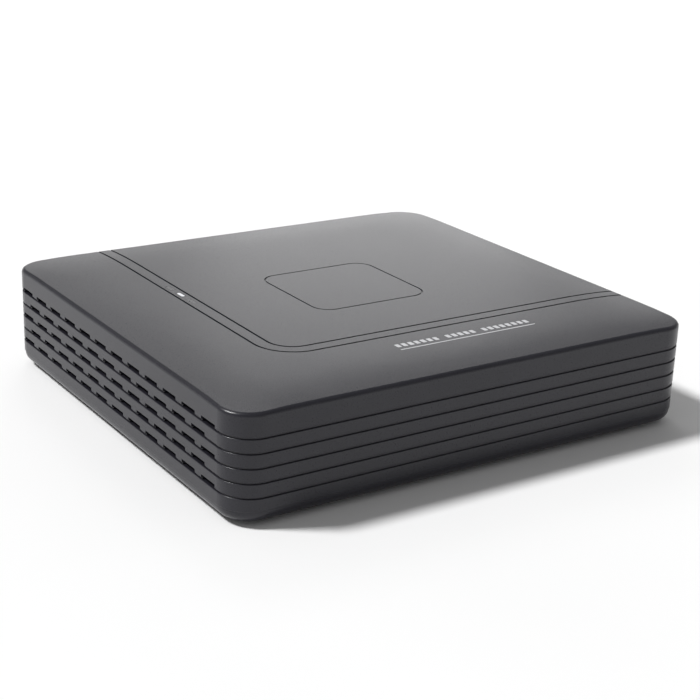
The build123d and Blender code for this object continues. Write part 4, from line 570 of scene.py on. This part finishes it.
def part_outline(x, y, lying, along, length, width):
    """An oblong that far along a small part's own length, for a part lying along X or along Y."""
    if lying:
        return oblong(x + along, y, length, width)
    return oblong(x, y + along, width, length)


def build_board_parts():
    """Surface-mounted resistors and ceramic capacitors with tinned ends, and their pads' solder."""
    bodies = {"chip_black": Mesh(), "header_white": Mesh()}
    ends = Mesh()
    solder = Mesh()
    dice = random.Random(21)
    for (mid_x, mid_y), columns, rows, pitch_x, pitch_y, lying in PART_FIELDS:
        for column in range(columns):
            for row in range(rows):
                if dice.random() < EMPTY_SHARE:
                    continue
                x = mid_x + (column - (columns - 1) / 2) * pitch_x
                y = mid_y + (row - (rows - 1) / 2) * pitch_y
                kind = "chip_black" if dice.random() < RESISTOR_SHARE else "header_white"
                high = BOARD_TOP_Z + (RESISTOR_H if kind == "chip_black" else CAPACITOR_H)
                middle = part_outline(x, y, lying, 0, PART_L - 2 * PART_END_L, PART_W)
                bodies[kind].prism(middle, BOARD_TOP_Z + 0.02, high, 0.06)
                for side in (-1, 1):
                    at = side * (PART_L - PART_END_L) / 2
                    end = part_outline(x, y, lying, at, PART_END_L, PART_W + 0.04)
                    ends.prism(end, BOARD_TOP_Z, high + 0.03, 0.08)
                    pad = part_outline(x, y, lying, at + side * PAD_REACH, PAD_L, PART_W + 0.3)
                    solder.prism(pad, BOARD_TOP_Z - 0.02, BOARD_TOP_Z + PAD_TOP, 0.14)
    for kind, mesh in bodies.items():
        mesh.build("small_parts_" + kind, "chassis", kind)
    ends.build("small_part_ends", "chassis", "nickel")
    solder.build("small_part_solder", "chassis", "nickel")


# Board outlines in white ink: middle, width and length.
INK_FRAMES = [
    (-68.0, 48.0, 17.0, 17.0), (-40.0, 48.0, 17.0, 17.0), (42.0, 36.0, 11.0, 15.0), (42.0, 53.0, 11.0, 15.0),
    (14.0, 44.0, 31.0, 31.0), (-12.0, 36.0, 10.0, 7.4), (68.0, 58.0, 15.6, 11.4), (74.0, 44.0, 9.0, 9.0),
    (60.0, 30.0, 9.0, 9.0), (-26.0, 32.0, 9.0, 9.0),
]
# White rings round the round parts: middle and radius.
INK_RINGS = [
    (82.5, 62.5, 4.6), (84.5, 44.0, 4.6), (60.0, 41.0, 3.8), (-20.0, 58.0, 3.8), (-84.0, 44.0, 3.8),
    (74.0, 31.0, 6.8), (-75.5, 27.0, 12.4),
]
# Capacitor cans: middle, radius and height.
CANS = [(82.5, 62.5, 3.9, 11.0), (84.5, 44.0, 3.9, 11.0), (60.0, 41.0, 3.1, 7.7), (-20.0, 58.0, 3.1, 7.7),
        (-84.0, 44.0, 3.1, 7.7)]
# Chips with marks on top: middle, width, length and height of the top.
MARKED_CHIPS = [
    (-68.0, 48.0, 12.0, 12.0, 1.5), (-40.0, 48.0, 12.0, 12.0, 1.5),
    (42.0, 36.0, 9.0, 13.0, 1.1), (42.0, 53.0, 9.0, 13.0, 1.1),
]
# Test rings of the main board and of its forward arm: count, first middle, step, outer and inner radius.
TEST_RINGS = ((24, (-48.0, 20.6), (6.0, 0), 0.7, 0.35), (9, (-57.6, 1.5), (0, 2.0), 0.6, 0.3))


def build_board_marks():
    """White outlines and gilt rings on the board, half-moons on the cans and marks on the chips."""
    ink = Mesh()
    low, high = BOARD_TOP_Z - INK_T, BOARD_TOP_Z + INK_T
    for x, y, width, length in INK_FRAMES:
        ink.band(oblong(x, y, width, length), oblong(x, y, width - 0.5, length - 0.5), low, high)
        ink.prism(circle(x - width / 2 - 1.0, y - length / 2 - 0.6, 0.4, 12), low, high)
    for x, y, radius in INK_RINGS:
        ink.band(circle(x, y, radius, 40), circle(x, y, radius - 0.25, 40), low, high)
    ink.build("board_outlines", "chassis", "insulator_white")
    rings = Mesh()
    for count, (x, y), (step_x, step_y), outer_r, inner_r in TEST_RINGS:
        for index in range(count):
            spot = (x + index * step_x, y + index * step_y)
            rings.band(circle(*spot, outer_r, 16), circle(*spot, inner_r, 16), low, high)
    rings.build("board_rings", "chassis", "gilt")
    moons = Mesh()
    for x, y, radius, height in CANS:
        top = BOARD_TOP_Z + height
        moons.prism(arc(x, y, radius * 0.72, 100, 260, 16), top - INK_T, top + INK_T)
    moons.build("can_half_moons", "chassis", "chip_black")
    marks = Mesh()
    for x, y, width, length, height in MARKED_CHIPS:
        top = BOARD_TOP_Z + height
        for row in range(3):
            run = width * (0.62 - 0.12 * row)
            line = oblong(x - width * 0.34 + run / 2, y + (1 - row) * 1.9, run, 0.7)
            marks.prism(line, top - INK_T, top + INK_T)
        marks.prism(circle(x - width * 0.36, y - length * 0.36, 0.5, 16), top - INK_T, top + INK_T)
    dress(marks.build("chip_marks", "chassis", "header_white"), ink_material("chip_ink", (0.35, 0.35, 0.34)))


TIE_Y = -22.0
TIE_X = 84.0
TIE_HEAD_X = 80.0
TIE_HALF_W = 1.2
TIE_HEAD_HALF_W = 1.8
TIE_TAIL_HALF_W = 1.1


def build_cable_ties():
    """A nylon tie round the four supply wires, with its ratchet head and cut tail."""
    tie = Mesh(facing_back(TIE_Y))
    outer, inner = rounded(TIE_X, 12.6, 8.9, 2.9, 1.4), rounded(TIE_X, 12.6, 7.9, 1.9, 0.9)
    tie.band(outer, inner, -TIE_HALF_W, TIE_HALF_W)
    tie.prism(rounded(TIE_HEAD_X, 14.6, 3.6, 2.2, 0.4), -TIE_HEAD_HALF_W, TIE_HEAD_HALF_W, 0.3)
    tie.prism(rounded(TIE_HEAD_X, 16.6, 0.9, 2.4, 0.3), -TIE_TAIL_HALF_W, TIE_TAIL_HALF_W, 0.2)
    tie.build("wire_tie", "chassis", "insulator_white")


def build_details():
    """Every added piece; those without a finish of their own only get their slot recorded here."""
    build_top_print()
    build_rear_print()
    build_labels()
    build_board_parts()
    build_board_marks()
    build_cable_ties()


# ---------------------------------------------------------------- stage
def aimed(name, kind, toward, distance, **settings):
    """A light in the direction toward, turned to face the recorder."""
    data = bpy.data.lights.new(name, kind)
    for setting, value in settings.items():
        setattr(data, setting, value)
    light = bpy.data.objects.new(name, data)
    middle = Vector((0, 0, 20)) * MM
    light.location = middle + Vector(toward).normalized() * distance
    light.rotation_euler = (light.location - middle).to_track_quat("Z", "Y").to_euler()
    bpy.context.scene.collection.objects.link(light)


FLOOR_SIZE = 60
HORIZON_TONE = 0.95
SKY_TONE = 0.27
SKY_FROM = 0.2
KEY_DIRECTION = (-0.516, 0.297, 0.804)
KEY_SOFTNESS = math.radians(10)
# Soft boxes behind on the right: name, direction, distance, power, width and height.
SOFT_BOXES = (
    ("low_box", (0.545, 0.839, 0.25), 1.8, 2.05, 1.25, 0.56),
    ("inner_box", (0.57, 0.822, 0.25), 1.7, 0.7, 0.5, 0.52),
    ("upper_box", (0.266, 0.694, 0.669), 1.8, 1.7, 0.5, 0.5),
)


def build_stage():
    """Pale floor, a backdrop bright at the horizon, a soft key from the left and three soft boxes."""
    bpy.ops.mesh.primitive_plane_add(size=FLOOR_SIZE)
    floor = bpy.context.object
    floor.name = "floor"
    shader = Shader("floor_paper", roughness=0.9)
    shader.colour(shader.ramp(shader.noise(6, 2), (0.3, 0.93), (0.7, 0.95)))
    dress(floor, shader.material)
    world = bpy.data.worlds.new("studio")
    world.use_nodes = True
    nodes_in, links = world.node_tree.nodes, world.node_tree.links
    direction = nodes_in.new("ShaderNodeTexCoord").outputs["Generated"]
    split = nodes_in.new("ShaderNodeSeparateXYZ")
    fade = nodes_in.new("ShaderNodeValToRGB")
    fade.color_ramp.elements[0].color = (HORIZON_TONE, HORIZON_TONE, HORIZON_TONE, 1)
    fade.color_ramp.elements[1].position = SKY_FROM
    fade.color_ramp.elements[1].color = (SKY_TONE, SKY_TONE, SKY_TONE, 1)
    links.new(direction, split.inputs["Vector"])
    links.new(split.outputs["Z"], fade.inputs["Fac"])
    links.new(fade.outputs["Color"], nodes_in["Background"].inputs["Color"])
    bpy.context.scene.world = world
    aimed("key", "SUN", KEY_DIRECTION, 2, energy=3.0, angle=KEY_SOFTNESS)
    for name, toward, distance, energy, width, height in SOFT_BOXES:
        aimed(name, "AREA", toward, distance, energy=energy, shape="RECTANGLE", size=width, size_y=height)
    bpy.context.scene.view_settings.view_transform = "Standard"


place_camera()
build_details()
dress_all()
build_stage()
